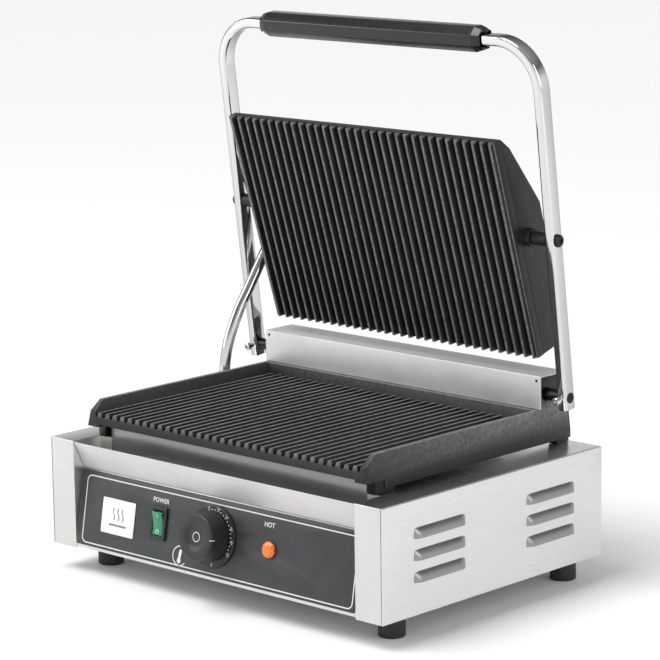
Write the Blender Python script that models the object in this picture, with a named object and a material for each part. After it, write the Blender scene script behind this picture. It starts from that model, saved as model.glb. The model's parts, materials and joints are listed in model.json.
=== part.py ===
"""Contact grill (panini press): stainless base, two ribbed cast-iron plates and a balanced lid.

Metres, +Z up, the operator stands at -Y. The origin is on the table under the middle of the
bounding box. The rest pose is the open lid. Depths are measured back from the casing's front
face and turned into Y by the function back().
"""
import math

import bmesh
import bpy
from mathutils import Matrix, Vector

# ---- driving dimensions -------------------------------------------------------------------
GAP = 0.0003                    # clearance between neighbouring pieces
SHEET = 0.0012                  # stainless sheet thickness

CASE_WIDTH = 0.430
CASE_DEPTH = 0.307
FOOT_HEIGHT = 0.025
CASE_TOP = 0.130
FRONT_Y = -0.14993              # the casing's front face

CHEEK_WIDTH = 0.0325            # front face of each side casing
RECESS_DEPTH = 0.035            # from the front face to the deck's front edge
DECK_APRON_LOW = 0.1035         # lower edge of the deck's turned-down front
DECK_LIP_HALF = 0.166           # low wall along the deck's front edge, between the plate's feet
DECK_LIP_TOP = 0.1395

FOOT_RADIUS = 0.0125
FOOT_X = 0.184
FOOT_DEPTHS = {"front": 0.046, "rear": 0.288}

LOUVRE_LENGTH = 0.068
LOUVRE_HEIGHT = 0.010
LOUVRE_PROUD = 0.004
LOUVRE_PITCH = 0.020
LOUVRE_TOP = 0.105
LOUVRE_ROWS = 3
LOUVRE_MIDDLES = (0.076, 0.231)

PANEL_BOTTOM = (0.0003, 0.0268)     # depth and height of the control panel's lower edge
PANEL_TOP = (0.0136, 0.102)         # depth and height of its upper edge
PANEL_HALF_WIDTH = CASE_WIDTH / 2 - CHEEK_WIDTH - GAP
OVERLAY_THICKNESS = 0.0008

TRAY_FRONT_TOP = 0.1296
TRAY_REAR_TOP = 0.112
TRAY_BACK = 0.0337

RIB_PITCH = 0.01035
RIB_COUNT = 33
RIB_DEPTH = 0.005
CREST_WIDTH = 0.0026
VALLEY_WIDTH = 0.0030

LOWER_CREST = 0.157             # height of the lower plate's rib crests
LOWER_UNDERSIDE = 0.145
LOWER_SKIRT = 0.1425            # height of the casting's lower rim
WALL_TOP = 0.167
LOWER_FRONT = 0.018
LOWER_BACK = 0.262
SIDE_SKIRT = 0.1345              # height of the side walls' lower edge
SIDE_BACK = 0.303                # rear end of the side walls
SIDE_INNER = 0.1690              # inner face of the side walls behind the plate
LOWER_HALF_TOP = 0.178
LOWER_HALF_BOTTOM = 0.181

HINGE_DEPTH = 0.271
HINGE_HEIGHT = 0.181
SHAFT_RADIUS = 0.00575
SHAFT_BORE = 0.00610
EAR_INNER = 0.1730
EAR_OUTER = 0.1778
EAR_FRONT = 0.2620
EAR_BACK = 0.2974
EAR_TOP = 0.1974
COVER_HALF = 0.1792
COVER_FRONT = 0.2605
COVER_BACK = 0.2990

LID_LEAN = math.radians(7.1)    # the open handle leans forward from upright
ARM_X = 0.201
ARM_THICK = 0.010               # across the machine
ARM_DEEP = 0.015                # front to back
ARM_ROUND = 0.0025
ARM_TAIL = 0.0115               # below the hinge axis
HANDLE_RISE = 0.335             # hinge axis to the grip's axis
HANDLE_BEND = 0.045
GRIP_LENGTH = 0.280
GRIP_ACROSS = 0.024

PIN_RISE = 0.1512               # hinge axis to the plate's pins
PLATE_LEAN = math.radians(17.0)  # the open plate's face leans forward from upright
PLATE_HALF_WIDTH = 0.170
PLATE_FRONT = -0.1013           # from the pins to the plate's front edge, lid shut
PLATE_REAR = 0.1167
FACE_BELOW_PIN = 0.0206         # pin axis to the crests of the ribs
PLATE_THICK = 0.011
HOOD_HEIGHT = 0.0474            # crests to the top of the hood
HOOD_WALL = 0.0045

CONDUIT_RADIUS = 0.0055
ELEMENT_RADIUS = 0.004

SCREW_RADIUS = 0.0018           # shank of the rear panel's screws
REAR_SCREW_X = 0.2075
PANEL_RUN = math.hypot(PANEL_TOP[0] - PANEL_BOTTOM[0], PANEL_TOP[1] - PANEL_BOTTOM[1])
PANEL_LEAN = math.atan2(PANEL_TOP[0] - PANEL_BOTTOM[0], PANEL_TOP[1] - PANEL_BOTTOM[1])
CONTROL_HEIGHT = 0.0406         # up the panel to the line through knob, switch and lamp
KNOB_X = 0.0
SWITCH_X = -0.0720
LAMP_X = 0.0722
SWITCH_CUT = (0.0168, 0.0270)    # width and height of the switch's body behind its bezel
ROCKER_TILT = math.radians(9.0)
ROCKER_AXIS_OUT = 0.0005        # from the panel's face to the rocker's axis
DIAL_RADIUS = 0.0295
KNOB_RADIUS = 0.0225
SPINDLE_RADIUS = 0.003
LENS_RADIUS = 0.0077
ON_OVERLAY = GAP + OVERLAY_THICKNESS + GAP     # from the panel's face to what lies on the overlay
BOLT_RADIUS = 0.003             # bolts that hold the lower plate's feet on the deck
LEG_X = 0.1745
LEG_DEPTHS = (0.0430, 0.2935)
LEG_SPANS = ((0.0310, 0.0555), (0.2840, 0.3020))     # front and rear foot, front to back
ELEMENT_RUNS = 6                # straight runs of a heating element
ELEMENT_HALF = 0.130            # half the length of a straight run
ELEMENT_FRONT = 0.066           # first run of the lower element
ELEMENT_LEG_X = (-0.030, 0.030)
ELEMENT_LEG_DEPTH = 0.244
CAPILLARY_X = 0.118
CAPILLARY_DEPTH = 0.215
GLAND_X = 0.150
GLAND_Z = 0.060
GLAND_BODY = 0.0080
GLAND_REACH = 0.3212
PIN_RADIUS = 0.0040             # bolts that carry the upper plate
SET_SCREW_RADIUS = 0.0021
BOSS_RADIUS = 0.0085            # boss on each side of the hood
BOSS_OUT = 0.1780
ELBOW_X = -0.112
CONDUIT_BASE = (-0.1895, 0.213)  # x and depth where the conduit leaves the deck

CONDUIT_ROUTE = [                   # x, depth, height of the lower, free run
    (-0.1895, 0.213, 0.116), (-0.1895, 0.213, 0.138), (-0.1895, 0.2120, 0.166), (-0.1890, 0.2180, 0.1936),
    (-0.1872, 0.2310, 0.2226), (-0.1852, 0.2425, 0.2418), (-0.1838, 0.2545, 0.2607)]

CONDUIT_LID_ROUTE = [               # x, distance up the open plate, distance behind its face
    (-0.1825, 0.066, 0.022), (-0.1820, 0.083, 0.040), (-0.1785, 0.098, 0.054), (-0.1680, 0.109, 0.0605),
    (-0.1520, 0.1150, 0.0620), (-0.1350, 0.1167, 0.0620), (-0.1180, 0.1167, 0.0620)]

ROUND_SIDES = 24
SMALL_SIDES = 12


# ---- helpers ------------------------------------------------------------------------------
def back(depth):
    """World Y of a point that lies depth behind the casing's front face."""
    return FRONT_Y + depth


def clear_scene():
    for item in list(bpy.data.objects):
        bpy.data.objects.remove(item)


def make_material(name, colour, roughness, metallic):
    """One Principled material for each sub-part."""
    material = bpy.data.materials.new(name)
    material.use_nodes = True
    shader = material.node_tree.nodes["Principled BSDF"]
    shader.inputs["Base Color"].default_value = (*colour, 1.0)
    shader.inputs["Roughness"].default_value = roughness
    shader.inputs["Metallic"].default_value = metallic
    return material


FINISHES = {
    "stainless": ((0.62, 0.61, 0.59), 0.32, 1.0),
    "cast_iron": ((0.030, 0.030, 0.032), 0.55, 0.6),
    "chrome": ((0.80, 0.80, 0.82), 0.08, 1.0),
    "steel": ((0.50, 0.50, 0.50), 0.35, 1.0),
    "zinc": ((0.58, 0.58, 0.56), 0.45, 1.0),
    "black_plastic": ((0.015, 0.015, 0.016), 0.25, 0.0),
    "charcoal": ((0.050, 0.052, 0.055), 0.40, 0.0),
    "rubber": ((0.020, 0.020, 0.020), 0.80, 0.0),
    "white_plastic": ((0.85, 0.85, 0.84), 0.40, 0.0),
    "green_lens": ((0.010, 0.240, 0.100), 0.20, 0.0),
    "amber_lens": ((0.850, 0.230, 0.030), 0.25, 0.0),
    "insulation": ((0.70, 0.67, 0.60), 0.70, 0.0),
    "copper": ((0.75, 0.40, 0.25), 0.35, 1.0),
    "wire_sleeve": ((0.45, 0.10, 0.06), 0.60, 0.0),
}


def place(name, shape, finish, parent=None, smooth=False):
    """Turn a bmesh into the named object, in the frame of its parent empty."""
    bmesh.ops.recalc_face_normals(shape, faces=shape.faces)
    mesh = bpy.data.meshes.new(name)
    shape.to_mesh(mesh)
    shape.free()
    if smooth:
        mesh.shade_smooth()
        mesh.set_sharp_from_angle(angle=math.radians(35))
    item = bpy.data.objects.new(name, mesh)
    bpy.context.scene.collection.objects.link(item)
    item.data.materials.append(make_material(name + "_finish", *FINISHES[finish]))
    item.parent = parent
    return item


def make_empty(name, location, turn_x, parent=None):
    """An empty that carries a joint's axis or a tilted working frame."""
    empty = bpy.data.objects.new(name, None)
    bpy.context.scene.collection.objects.link(empty)
    empty.location = location
    empty.rotation_euler = (turn_x, 0.0, 0.0)
    empty.parent = parent
    return empty


def add_prism(shape, outline, axis, low, high):
    """A closed prism: the outline lies across the axis, in the order of the two other axes."""
    ends = []
    for level in (low, high):
        ring = []
        for first, second in outline:
            corner = [first, second]
            corner.insert("XYZ".index(axis), level)
            ring.append(shape.verts.new(corner))
        ends.append(ring)
    shape.faces.new(ends[0])
    shape.faces.new(list(reversed(ends[1])))
    count = len(outline)
    for index in range(count):
        following = (index + 1) % count
        shape.faces.new((ends[0][index], ends[1][index], ends[1][following], ends[0][following]))
    return shape


def prism(outline, axis, low, high):
    return add_prism(bmesh.new(), outline, axis, low, high)


def add_box(shape, x_range, y_range, z_range):
    outline = [(x_range[0], y_range[0]), (x_range[1], y_range[0]),
               (x_range[1], y_range[1]), (x_range[0], y_range[1])]
    return add_prism(shape, outline, "Z", *z_range)


def box(x_range, y_range, z_range):
    return add_box(bmesh.new(), x_range, y_range, z_range)


def circle_points(radius, sides, centre=(0.0, 0.0)):
    step = 2 * math.pi / sides
    return [(centre[0] + radius * math.cos(step * (index + 0.5)),
             centre[1] + radius * math.sin(step * (index + 0.5))) for index in range(sides)]


def rounded_rectangle(width, height, radius, steps=2, centre=(0.0, 0.0)):
    """Outline of a rectangle with rounded corners, each corner made of the given steps."""
    points = []
    quarter = math.pi / 2
    for corner, (side_x, side_y) in enumerate(((1, 1), (-1, 1), (-1, -1), (1, -1))):
        middle_x = centre[0] + side_x * (width / 2 - radius)
        middle_y = centre[1] + side_y * (height / 2 - radius)
        for step in range(steps + 1):
            angle = quarter * (corner + step / steps)
            points.append((middle_x + radius * math.cos(angle), middle_y + radius * math.sin(angle)))
    return points


def add_cylinder(shape, axis, radius, low, high, centre, sides=ROUND_SIDES):
    return add_prism(shape, circle_points(radius, sides, centre), axis, low, high)


def add_turned(shape, profile, sides=ROUND_SIDES, frame=Matrix.Identity(4)):
    """A turned piece about the frame's Z; the profile is a closed loop of (radius, height)."""
    rings = []
    for radius, height in profile:
        if radius == 0.0:
            rings.append([shape.verts.new(frame @ Vector((0.0, 0.0, height)))])
            continue
        ring = [shape.verts.new(frame @ Vector((x, y, height)))
                for x, y in circle_points(radius, sides)]
        rings.append(ring)
    for index, ring in enumerate(rings):
        following = rings[(index + 1) % len(rings)]
        if len(ring) == 1 and len(following) == 1:
            continue
        for side in range(sides):
            after = (side + 1) % sides
            if len(ring) == 1:
                shape.faces.new((ring[0], following[side], following[after]))
            elif len(following) == 1:
                shape.faces.new((ring[side], ring[after], following[0]))
            else:
                shape.faces.new((ring[side], ring[after], following[after], following[side]))
    return shape


def turned(profile, sides=ROUND_SIDES, frame=Matrix.Identity(4)):
    return add_turned(bmesh.new(), profile, sides, frame)


def sweep(points, section, side_hint):
    """A closed bar that follows the points; the section's second axis stays near side_hint."""
    shape = bmesh.new()
    path = [Vector(point) for point in points]
    side = Vector(side_hint)
    rings = []
    for index, point in enumerate(path):
        arriving = (point - path[index - 1]).normalized() if index else None
        leaving = (path[index + 1] - point).normalized() if index < len(path) - 1 else arriving
        arriving = arriving or leaving
        along = (arriving + leaving).normalized()
        side = (side - along * side.dot(along)).normalized()
        across = side.cross(along)
        stretch = 1.0 / max(0.2, leaving.dot(along))
        bend = leaving - arriving
        outward = bend.normalized() if bend.length > 1e-6 else None
        ring = []
        for first, second in section:
            offset = across * first + side * second
            if outward is not None:
                offset += outward * offset.dot(outward) * (stretch - 1.0)
            ring.append(shape.verts.new(point + offset))
        rings.append(ring)
    shape.faces.new(rings[0])
    shape.faces.new(list(reversed(rings[-1])))
    count = len(section)
    for first, second in zip(rings, rings[1:]):
        for index in range(count):
            following = (index + 1) % count
            shape.faces.new((first[index], second[index], second[following], first[following]))
    return shape


def tube(points, radius, sides=8, side_hint=(1.0, 0.0, 0.0)):
    return sweep(points, circle_points(radius, sides), side_hint)


def smooth_curve(controls, steps):
    """Points of a Catmull-Rom curve through the control points."""
    knots = [Vector(point) for point in controls]
    padded = [knots[0] * 2 - knots[1], *knots, knots[-1] * 2 - knots[-2]]
    points = []
    for index in range(1, len(padded) - 2):
        a, b, c, d = padded[index - 1:index + 3]
        for step in range(steps):
            t = step / steps
            points.append(0.5 * (2 * b + (c - a) * t + (2 * a - 5 * b + 4 * c - d) * t * t
                                 + (3 * b - 3 * c + d - a) * t * t * t))
    points.append(knots[-1])
    return points


def boolean(target, shape, operation):
    """Apply an exact union or difference with a closed bmesh given in the target's own frame."""
    bmesh.ops.recalc_face_normals(shape, faces=shape.faces)
    mesh = bpy.data.meshes.new("tool")
    shape.to_mesh(mesh)
    shape.free()
    tool = bpy.data.objects.new("tool", mesh)
    bpy.context.scene.collection.objects.link(tool)
    tool.parent = target
    tool.hide_render = True
    tool.display_type = "WIRE"
    modifier = target.modifiers.new("cut", "BOOLEAN")
    modifier.operation = operation
    modifier.solver = "EXACT"
    modifier.object = tool
    graph = bpy.context.evaluated_depsgraph_get()
    result = bpy.data.meshes.new_from_object(target.evaluated_get(graph))
    target.modifiers.clear()
    target.data = result
    bpy.data.objects.remove(tool)


def cut(target, shape):
    boolean(target, shape, "DIFFERENCE")


def join(target, shape):
    boolean(target, shape, "UNION")


# ---- base: casing, panels and feet --------------------------------------------------------
def louvre_outline(side, top):
    """Hood of a pressed louvre, across X and Z: flush at the top, proud at the open bottom."""
    wall = CASE_WIDTH / 2
    points = [(wall - SHEET / 2, top + 0.0012), (wall + LOUVRE_PROUD, top - LOUVRE_HEIGHT + 0.0012),
              (wall + LOUVRE_PROUD, top - LOUVRE_HEIGHT), (wall - SHEET / 2, top - LOUVRE_HEIGHT)]
    return [(side * x, z) for x, z in points]


def louvre_hollow_outline(side, top):
    """Space behind the hood, open downwards and into the casing."""
    wall = CASE_WIDTH / 2
    skin = 0.0010
    points = [(wall - 2 * SHEET, top - skin), (wall - SHEET / 2, top - skin),
              (wall + LOUVRE_PROUD - skin, top - LOUVRE_HEIGHT + skin),
              (wall + LOUVRE_PROUD - skin, top - LOUVRE_HEIGHT - 0.001),
              (wall + 0.0002, top - LOUVRE_HEIGHT - 0.001), (wall + 0.0002, top - LOUVRE_HEIGHT + 0.0005),
              (wall - 2 * SHEET, top - LOUVRE_HEIGHT + 0.0005)]
    return [(side * x, z) for x, z in points]


def add_louvres(shell):
    """Six hooded vents on each side, as hoods joined to the wall and hollowed from inside."""
    hoods = bmesh.new()
    hollows = bmesh.new()
    for side in (-1, 1):
        for middle in LOUVRE_MIDDLES:
            for row in range(LOUVRE_ROWS):
                top = LOUVRE_TOP - row * LOUVRE_PITCH
                low = back(middle - LOUVRE_LENGTH / 2)
                high = back(middle + LOUVRE_LENGTH / 2)
                add_prism(hoods, louvre_outline(side, top), "Y", low, high)
                add_prism(hollows, louvre_hollow_outline(side, top), "Y", low + 0.001, high - 0.001)
    join(shell, hoods)
    cut(shell, hollows)


def make_shell():
    """Folded stainless casing: deck, sides with louvres, front cheeks, recess walls."""
    half = CASE_WIDTH / 2
    inner = half - SHEET
    cheek = half - CHEEK_WIDTH
    shell = place("body_shell", box((-half, half), (back(0), back(CASE_DEPTH)), (FOOT_HEIGHT, CASE_TOP)),
                  "stainless")
    cut(shell, box((-inner, inner), (back(SHEET), back(CASE_DEPTH + 0.01)),
                   (FOOT_HEIGHT - 0.01, CASE_TOP - SHEET)))
    spare = SHEET / 2
    for side in (-1, 1):
        wall = sorted((side * (cheek - spare), side * (cheek + SHEET)))
        join(shell, box(wall, (back(spare), back(RECESS_DEPTH + 0.004)), (0.0285, CASE_TOP - spare)))
        flange = sorted((side * (inner + spare), side * (inner - 0.012)))
        join(shell, box(flange, (back(0.3028), back(0.304)), (0.030, 0.120)))
    join(shell, box((-cheek - spare, cheek + spare), (back(RECESS_DEPTH - spare), back(RECESS_DEPTH + SHEET)),
                    (DECK_APRON_LOW, CASE_TOP - spare)))
    join(shell, box((-DECK_LIP_HALF, DECK_LIP_HALF), (back(RECESS_DEPTH), back(RECESS_DEPTH + SHEET)),
                    (CASE_TOP - spare, DECK_LIP_TOP)))
    cut(shell, box((-cheek, cheek), (back(-0.01), back(RECESS_DEPTH)), (FOOT_HEIGHT - 0.01, CASE_TOP + 0.01)))
    add_louvres(shell)
    holes = bmesh.new()
    add_cylinder(holes, "Z", CONDUIT_RADIUS + 2 * GAP, 0.12, 0.14, (CONDUIT_BASE[0], back(CONDUIT_BASE[1])), 16)
    for x in ELEMENT_LEG_X:
        add_cylinder(holes, "Z", 0.007, 0.12, 0.14, (x, back(ELEMENT_LEG_DEPTH)), SMALL_SIDES)
    add_cylinder(holes, "Z", 0.004, 0.12, 0.14, (CAPILLARY_X, back(CAPILLARY_DEPTH)), SMALL_SIDES)
    for x, depth in plate_bolt_places():
        add_cylinder(holes, "Z", BOLT_RADIUS + GAP, 0.12, 0.14, (x, back(depth)), SMALL_SIDES)
    cut(shell, holes)


def make_bottom():
    """Base sheet with two rows of vent slots."""
    inner = CASE_WIDTH / 2 - SHEET - GAP
    low = FOOT_HEIGHT + GAP
    sheet = place("bottom_plate", box((-inner, inner), (back(0.0135), back(0.3023)), (low, low + SHEET)), "zinc")
    slots = bmesh.new()
    for column in range(6):
        x = -0.125 + column * 0.05
        for depth in (0.10, 0.20):
            add_box(slots, (x - 0.003, x + 0.003), (back(depth - 0.025), back(depth + 0.025)), (0.02, 0.03))
    cut(sheet, slots)


def make_rear_panel():
    """Rear sheet with vent slots and the hole for the cord gland."""
    inner = CASE_WIDTH / 2 - SHEET - GAP
    panel = place("rear_panel", box((-inner, inner), (back(0.3043), back(0.3055)),
                                    (FOOT_HEIGHT + GAP, CASE_TOP - SHEET - GAP)), "stainless")
    holes = bmesh.new()
    for row in range(4):
        z = 0.060 + row * 0.014
        for x in (-0.100, -0.020):
            add_box(holes, (x - 0.030, x + 0.030), (back(0.30), back(0.31)), (z - 0.002, z + 0.002))
    add_cylinder(holes, "Y", GLAND_BODY + GAP, back(0.30), back(0.31), (GLAND_X, GLAND_Z), ROUND_SIDES)
    for x, z in rear_screw_places():
        add_cylinder(holes, "Y", SCREW_RADIUS + GAP, back(0.30), back(0.31), (x, z), SMALL_SIDES)
    cut(panel, holes)
    shell_holes = bmesh.new()
    for x, z in rear_screw_places():
        add_cylinder(shell_holes, "Y", SCREW_RADIUS + GAP, back(0.30), back(0.308), (x, z), SMALL_SIDES)
    cut(bpy.data.objects["body_shell"], shell_holes)


def rear_screw_places():
    return [(side * REAR_SCREW_X, z) for side in (-1, 1) for z in (0.045, 0.105)]


def make_rear_screws():
    """Pan-head screws through the rear panel into the casing's flanges."""
    head = [(0.0, 0.0022), (0.0022, 0.0020), (0.0034, 0.0008), (0.0034, 0.0), (SCREW_RADIUS, 0.0),
            (SCREW_RADIUS, -0.007), (0.0, -0.0085)]
    for x, z in rear_screw_places():
        side = "left" if x < 0 else "right"
        level = "low" if z < 0.07 else "high"
        frame = Matrix.Translation((x, back(0.3055 + GAP), z)) @ Matrix.Rotation(-math.pi / 2, 4, "X")
        place(f"rear_screw_{side}_{level}", turned(head, SMALL_SIDES, frame), "zinc", smooth=True)


def make_feet():
    """Four moulded feet with a slightly wider, softly edged tread."""
    profile = [(0.0, 0.0), (0.0110, 0.0), (FOOT_RADIUS, 0.0018), (FOOT_RADIUS, 0.0200),
               (0.0115, 0.0215), (0.0115, FOOT_HEIGHT), (0.0, FOOT_HEIGHT)]
    for row, depth in FOOT_DEPTHS.items():
        for side, name in ((-1, "left"), (1, "right")):
            frame = Matrix.Translation((side * FOOT_X, back(depth), 0.0))
            place(f"foot_{row}_{name}", turned(profile, ROUND_SIDES, frame), "rubber", smooth=True)


# ---- front: control panel and drip tray ---------------------------------------------------


def make_front_panel():
    """Folded carrier behind the control overlay, with a bright lip along its bottom."""
    lip_back = 0.0128
    run = (PANEL_TOP[0] - PANEL_BOTTOM[0]) / (PANEL_TOP[1] - PANEL_BOTTOM[1])
    outline = [(0.0330, PANEL_TOP[1]), PANEL_TOP, PANEL_BOTTOM, (lip_back, PANEL_BOTTOM[1]),
               (lip_back, PANEL_BOTTOM[1] + SHEET),
               (PANEL_BOTTOM[0] + SHEET * (1.0 + run), PANEL_BOTTOM[1] + SHEET),
               (PANEL_TOP[0] + SHEET * (1.0 - run), PANEL_TOP[1] - SHEET), (0.0330, PANEL_TOP[1] - SHEET)]
    outline = [(back(depth), z) for depth, z in outline]
    panel = place("front_panel", prism(outline, "X", -PANEL_HALF_WIDTH, PANEL_HALF_WIDTH), "stainless")
    cutters = control_cutters(-0.01, 0.01, 0.0)
    cutters.transform(panel_matrix())
    cut(panel, cutters)


def panel_matrix():
    """Panel frame in the world: X across, Y up the slope, Z out towards the operator."""
    return Matrix.Translation((0.0, back(PANEL_BOTTOM[0]), PANEL_BOTTOM[1])) @ \
        Matrix.Rotation(math.pi / 2 - PANEL_LEAN, 4, "X")


def control_cutters(low, high, grow):
    """Holes for the thermostat bush, the switch body and the lamp body."""
    shape = bmesh.new()
    add_cylinder(shape, "Z", 0.0053 + grow, low, high, (KNOB_X, CONTROL_HEIGHT), 16)
    add_cylinder(shape, "Z", 0.0054 + grow, low, high, (LAMP_X, CONTROL_HEIGHT), 16)
    half_x = SWITCH_CUT[0] / 2 + GAP + grow
    half_y = SWITCH_CUT[1] / 2 + GAP + grow
    add_box(shape, (SWITCH_X - half_x, SWITCH_X + half_x),
            (CONTROL_HEIGHT - half_y, CONTROL_HEIGHT + half_y), (low, high))
    return shape


def make_overlay(panel_frame):
    """Charcoal control overlay glued to the sloped carrier."""
    outline = rounded_rectangle(2 * PANEL_HALF_WIDTH - 0.0012, PANEL_RUN - 0.0036, 0.0015, 2,
                                (0.0, PANEL_RUN / 2 + 0.0012))
    shape = prism(outline, "Z", GAP, GAP + OVERLAY_THICKNESS)
    overlay = place("control_overlay", shape, "charcoal", panel_frame)
    cut(overlay, control_cutters(-0.01, 0.01, 0.0))


def make_badge(panel_frame):
    """Plain white badge plate."""
    outline = rounded_rectangle(0.0445, 0.0336, 0.0008, 2, (-0.1272, 0.0366))
    place("badge_plate", prism(outline, "Z", ON_OVERLAY, ON_OVERLAY + 0.0005), "white_plastic", panel_frame)


def make_dial(panel_frame):
    """Fixed ring that carries the temperature scale around the knob."""
    low = ON_OVERLAY
    profile = [(0.0065, low), (DIAL_RADIUS, low), (DIAL_RADIUS, low + 0.0016), (DIAL_RADIUS - 0.001, low + 0.0024),
               (0.0065, low + 0.0024)]
    frame = Matrix.Translation((KNOB_X, CONTROL_HEIGHT, 0.0))
    place("dial_ring", turned(profile, 32, frame), "black_plastic", panel_frame, smooth=True)


def make_knob(panel_frame):
    """Thermostat knob with a dished face, on its spindle; both turn on the knob's own axis."""
    axis = make_empty("knob_axis", (KNOB_X, CONTROL_HEIGHT, 0.0), 0.0, panel_frame)
    low = ON_OVERLAY + 0.0024 + GAP
    top = 0.0255
    bore = SPINDLE_RADIUS + GAP
    profile = [(bore, low), (KNOB_RADIUS, low), (KNOB_RADIUS, low + 0.012), (KNOB_RADIUS - 0.0007, top - 0.0015),
               (KNOB_RADIUS - 0.0022, top), (0.0125, top), (0.0105, top - 0.0022), (0.0, top - 0.0022),
               (0.0, top - 0.006), (bore, top - 0.006)]
    place("thermostat_knob", turned(profile, 32), "black_plastic", axis, smooth=True)
    spindle = [(0.0, -0.0100), (SPINDLE_RADIUS, -0.0100), (SPINDLE_RADIUS, top - 0.0070), (0.0, top - 0.0066)]
    place("thermostat_spindle", turned(spindle, SMALL_SIDES), "steel", axis, smooth=True)


def make_thermostat(panel_frame):
    """Thermostat body behind the panel, with a threaded bush through it."""
    body = place("thermostat_body", box((KNOB_X - 0.018, KNOB_X + 0.018),
                                        (CONTROL_HEIGHT - 0.018, CONTROL_HEIGHT + 0.018),
                                        (-0.026, -SHEET - GAP)), "zinc", panel_frame)
    bush = bmesh.new()
    add_cylinder(bush, "Z", 0.005, -0.004, ON_OVERLAY, (KNOB_X, CONTROL_HEIGHT), 16)
    join(body, bush)
    bore = bmesh.new()
    add_cylinder(bore, "Z", SPINDLE_RADIUS + GAP, -0.0105, 0.01, (KNOB_X, CONTROL_HEIGHT), SMALL_SIDES)
    cut(body, bore)


def make_switch(panel_frame):
    """Illuminated rocker switch: bezel and body, and the rocker on its own axis."""
    bezel = 0.0020
    half_x = SWITCH_CUT[0] / 2
    half_y = SWITCH_CUT[1] / 2
    outline = rounded_rectangle(0.0210, 0.0310, 0.0015, 2, (SWITCH_X, CONTROL_HEIGHT))
    body = place("switch_body", prism(outline, "Z", ON_OVERLAY, ON_OVERLAY + bezel), "black_plastic", panel_frame)
    join(body, box((SWITCH_X - half_x, SWITCH_X + half_x), (CONTROL_HEIGHT - half_y, CONTROL_HEIGHT + half_y),
                   (-0.022, ON_OVERLAY + bezel / 2)))
    cut(body, box((SWITCH_X - 0.0068, SWITCH_X + 0.0068), (CONTROL_HEIGHT - 0.0120, CONTROL_HEIGHT + 0.0120),
                  (-0.0070, 0.02)))
    axis = make_empty("rocker_axis", (SWITCH_X, CONTROL_HEIGHT, ROCKER_AXIS_OUT), ROCKER_TILT, panel_frame)
    rocker = [(-0.0110, -0.0030), (0.0110, -0.0030), (0.0112, 0.0038), (0.0105, 0.0042), (0.0, 0.0026),
              (-0.0105, 0.0042), (-0.0112, 0.0038)]
    place("switch_rocker", prism(rocker, "X", -0.0064, 0.0064), "green_lens", axis)


def make_lamp(panel_frame):
    """Pilot lamp: body through the panel and a low domed lens in front."""
    frame = Matrix.Translation((LAMP_X, CONTROL_HEIGHT, 0.0))
    body = [(0.0, -0.018), (0.005, -0.018), (0.005, GAP), (0.0, GAP)]
    place("lamp_body", turned(body, 16, frame), "black_plastic", panel_frame, smooth=True)
    low = ON_OVERLAY
    lens = [(0.0, low), (LENS_RADIUS, low), (LENS_RADIUS, low + 0.0015), (LENS_RADIUS - 0.0007, low + 0.0033),
            (LENS_RADIUS - 0.0030, low + 0.0044), (0.0, low + 0.0048)]
    place("lamp_lens", turned(lens, ROUND_SIDES, frame), "amber_lens", panel_frame, smooth=True)


def make_tray():
    """Drip tray: its sloped bright front closes the recess above the control panel."""
    floor = PANEL_TOP[1] + GAP
    outer = [(0.0, TRAY_FRONT_TOP), (PANEL_TOP[0], floor), (TRAY_BACK, floor), (TRAY_BACK, TRAY_REAR_TOP)]
    lean = (PANEL_TOP[0]) / (TRAY_FRONT_TOP - floor)
    inset = SHEET * math.hypot(1.0, lean)
    above = TRAY_FRONT_TOP + 0.01
    inner = [(inset - lean * 0.01, above), (PANEL_TOP[0] + inset - lean * SHEET, floor + SHEET),
             (TRAY_BACK - SHEET, floor + SHEET), (TRAY_BACK - SHEET, above)]
    half = PANEL_HALF_WIDTH - GAP
    tray = place("drip_tray", prism([(back(depth), z) for depth, z in outer], "X", -half, half), "stainless")
    cut(tray, prism([(back(depth), z) for depth, z in inner], "X", -half + SHEET, half - SHEET))


# ---- lower plate ---------------------------------------------------------------------------


def plate_bolt_places():
    return [(side * LEG_X, depth) for depth in LEG_DEPTHS for side in (-1, 1)]


def rib_outline(crest, valley):
    """Points along the ribbed face from -X to +X: flat crests, sloped flanks, flat valleys."""
    points = []
    first = -(RIB_COUNT - 1) / 2 * RIB_PITCH
    half_valley = VALLEY_WIDTH / 2
    for rib in range(RIB_COUNT):
        x = first + rib * RIB_PITCH
        if rib:
            points.append((x - RIB_PITCH / 2 + half_valley, valley))
        points.append((x - CREST_WIDTH / 2, crest))
        points.append((x + CREST_WIDTH / 2, crest))
        if rib < RIB_COUNT - 1:
            points.append((x + RIB_PITCH / 2 - half_valley, valley))
    return points


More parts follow.
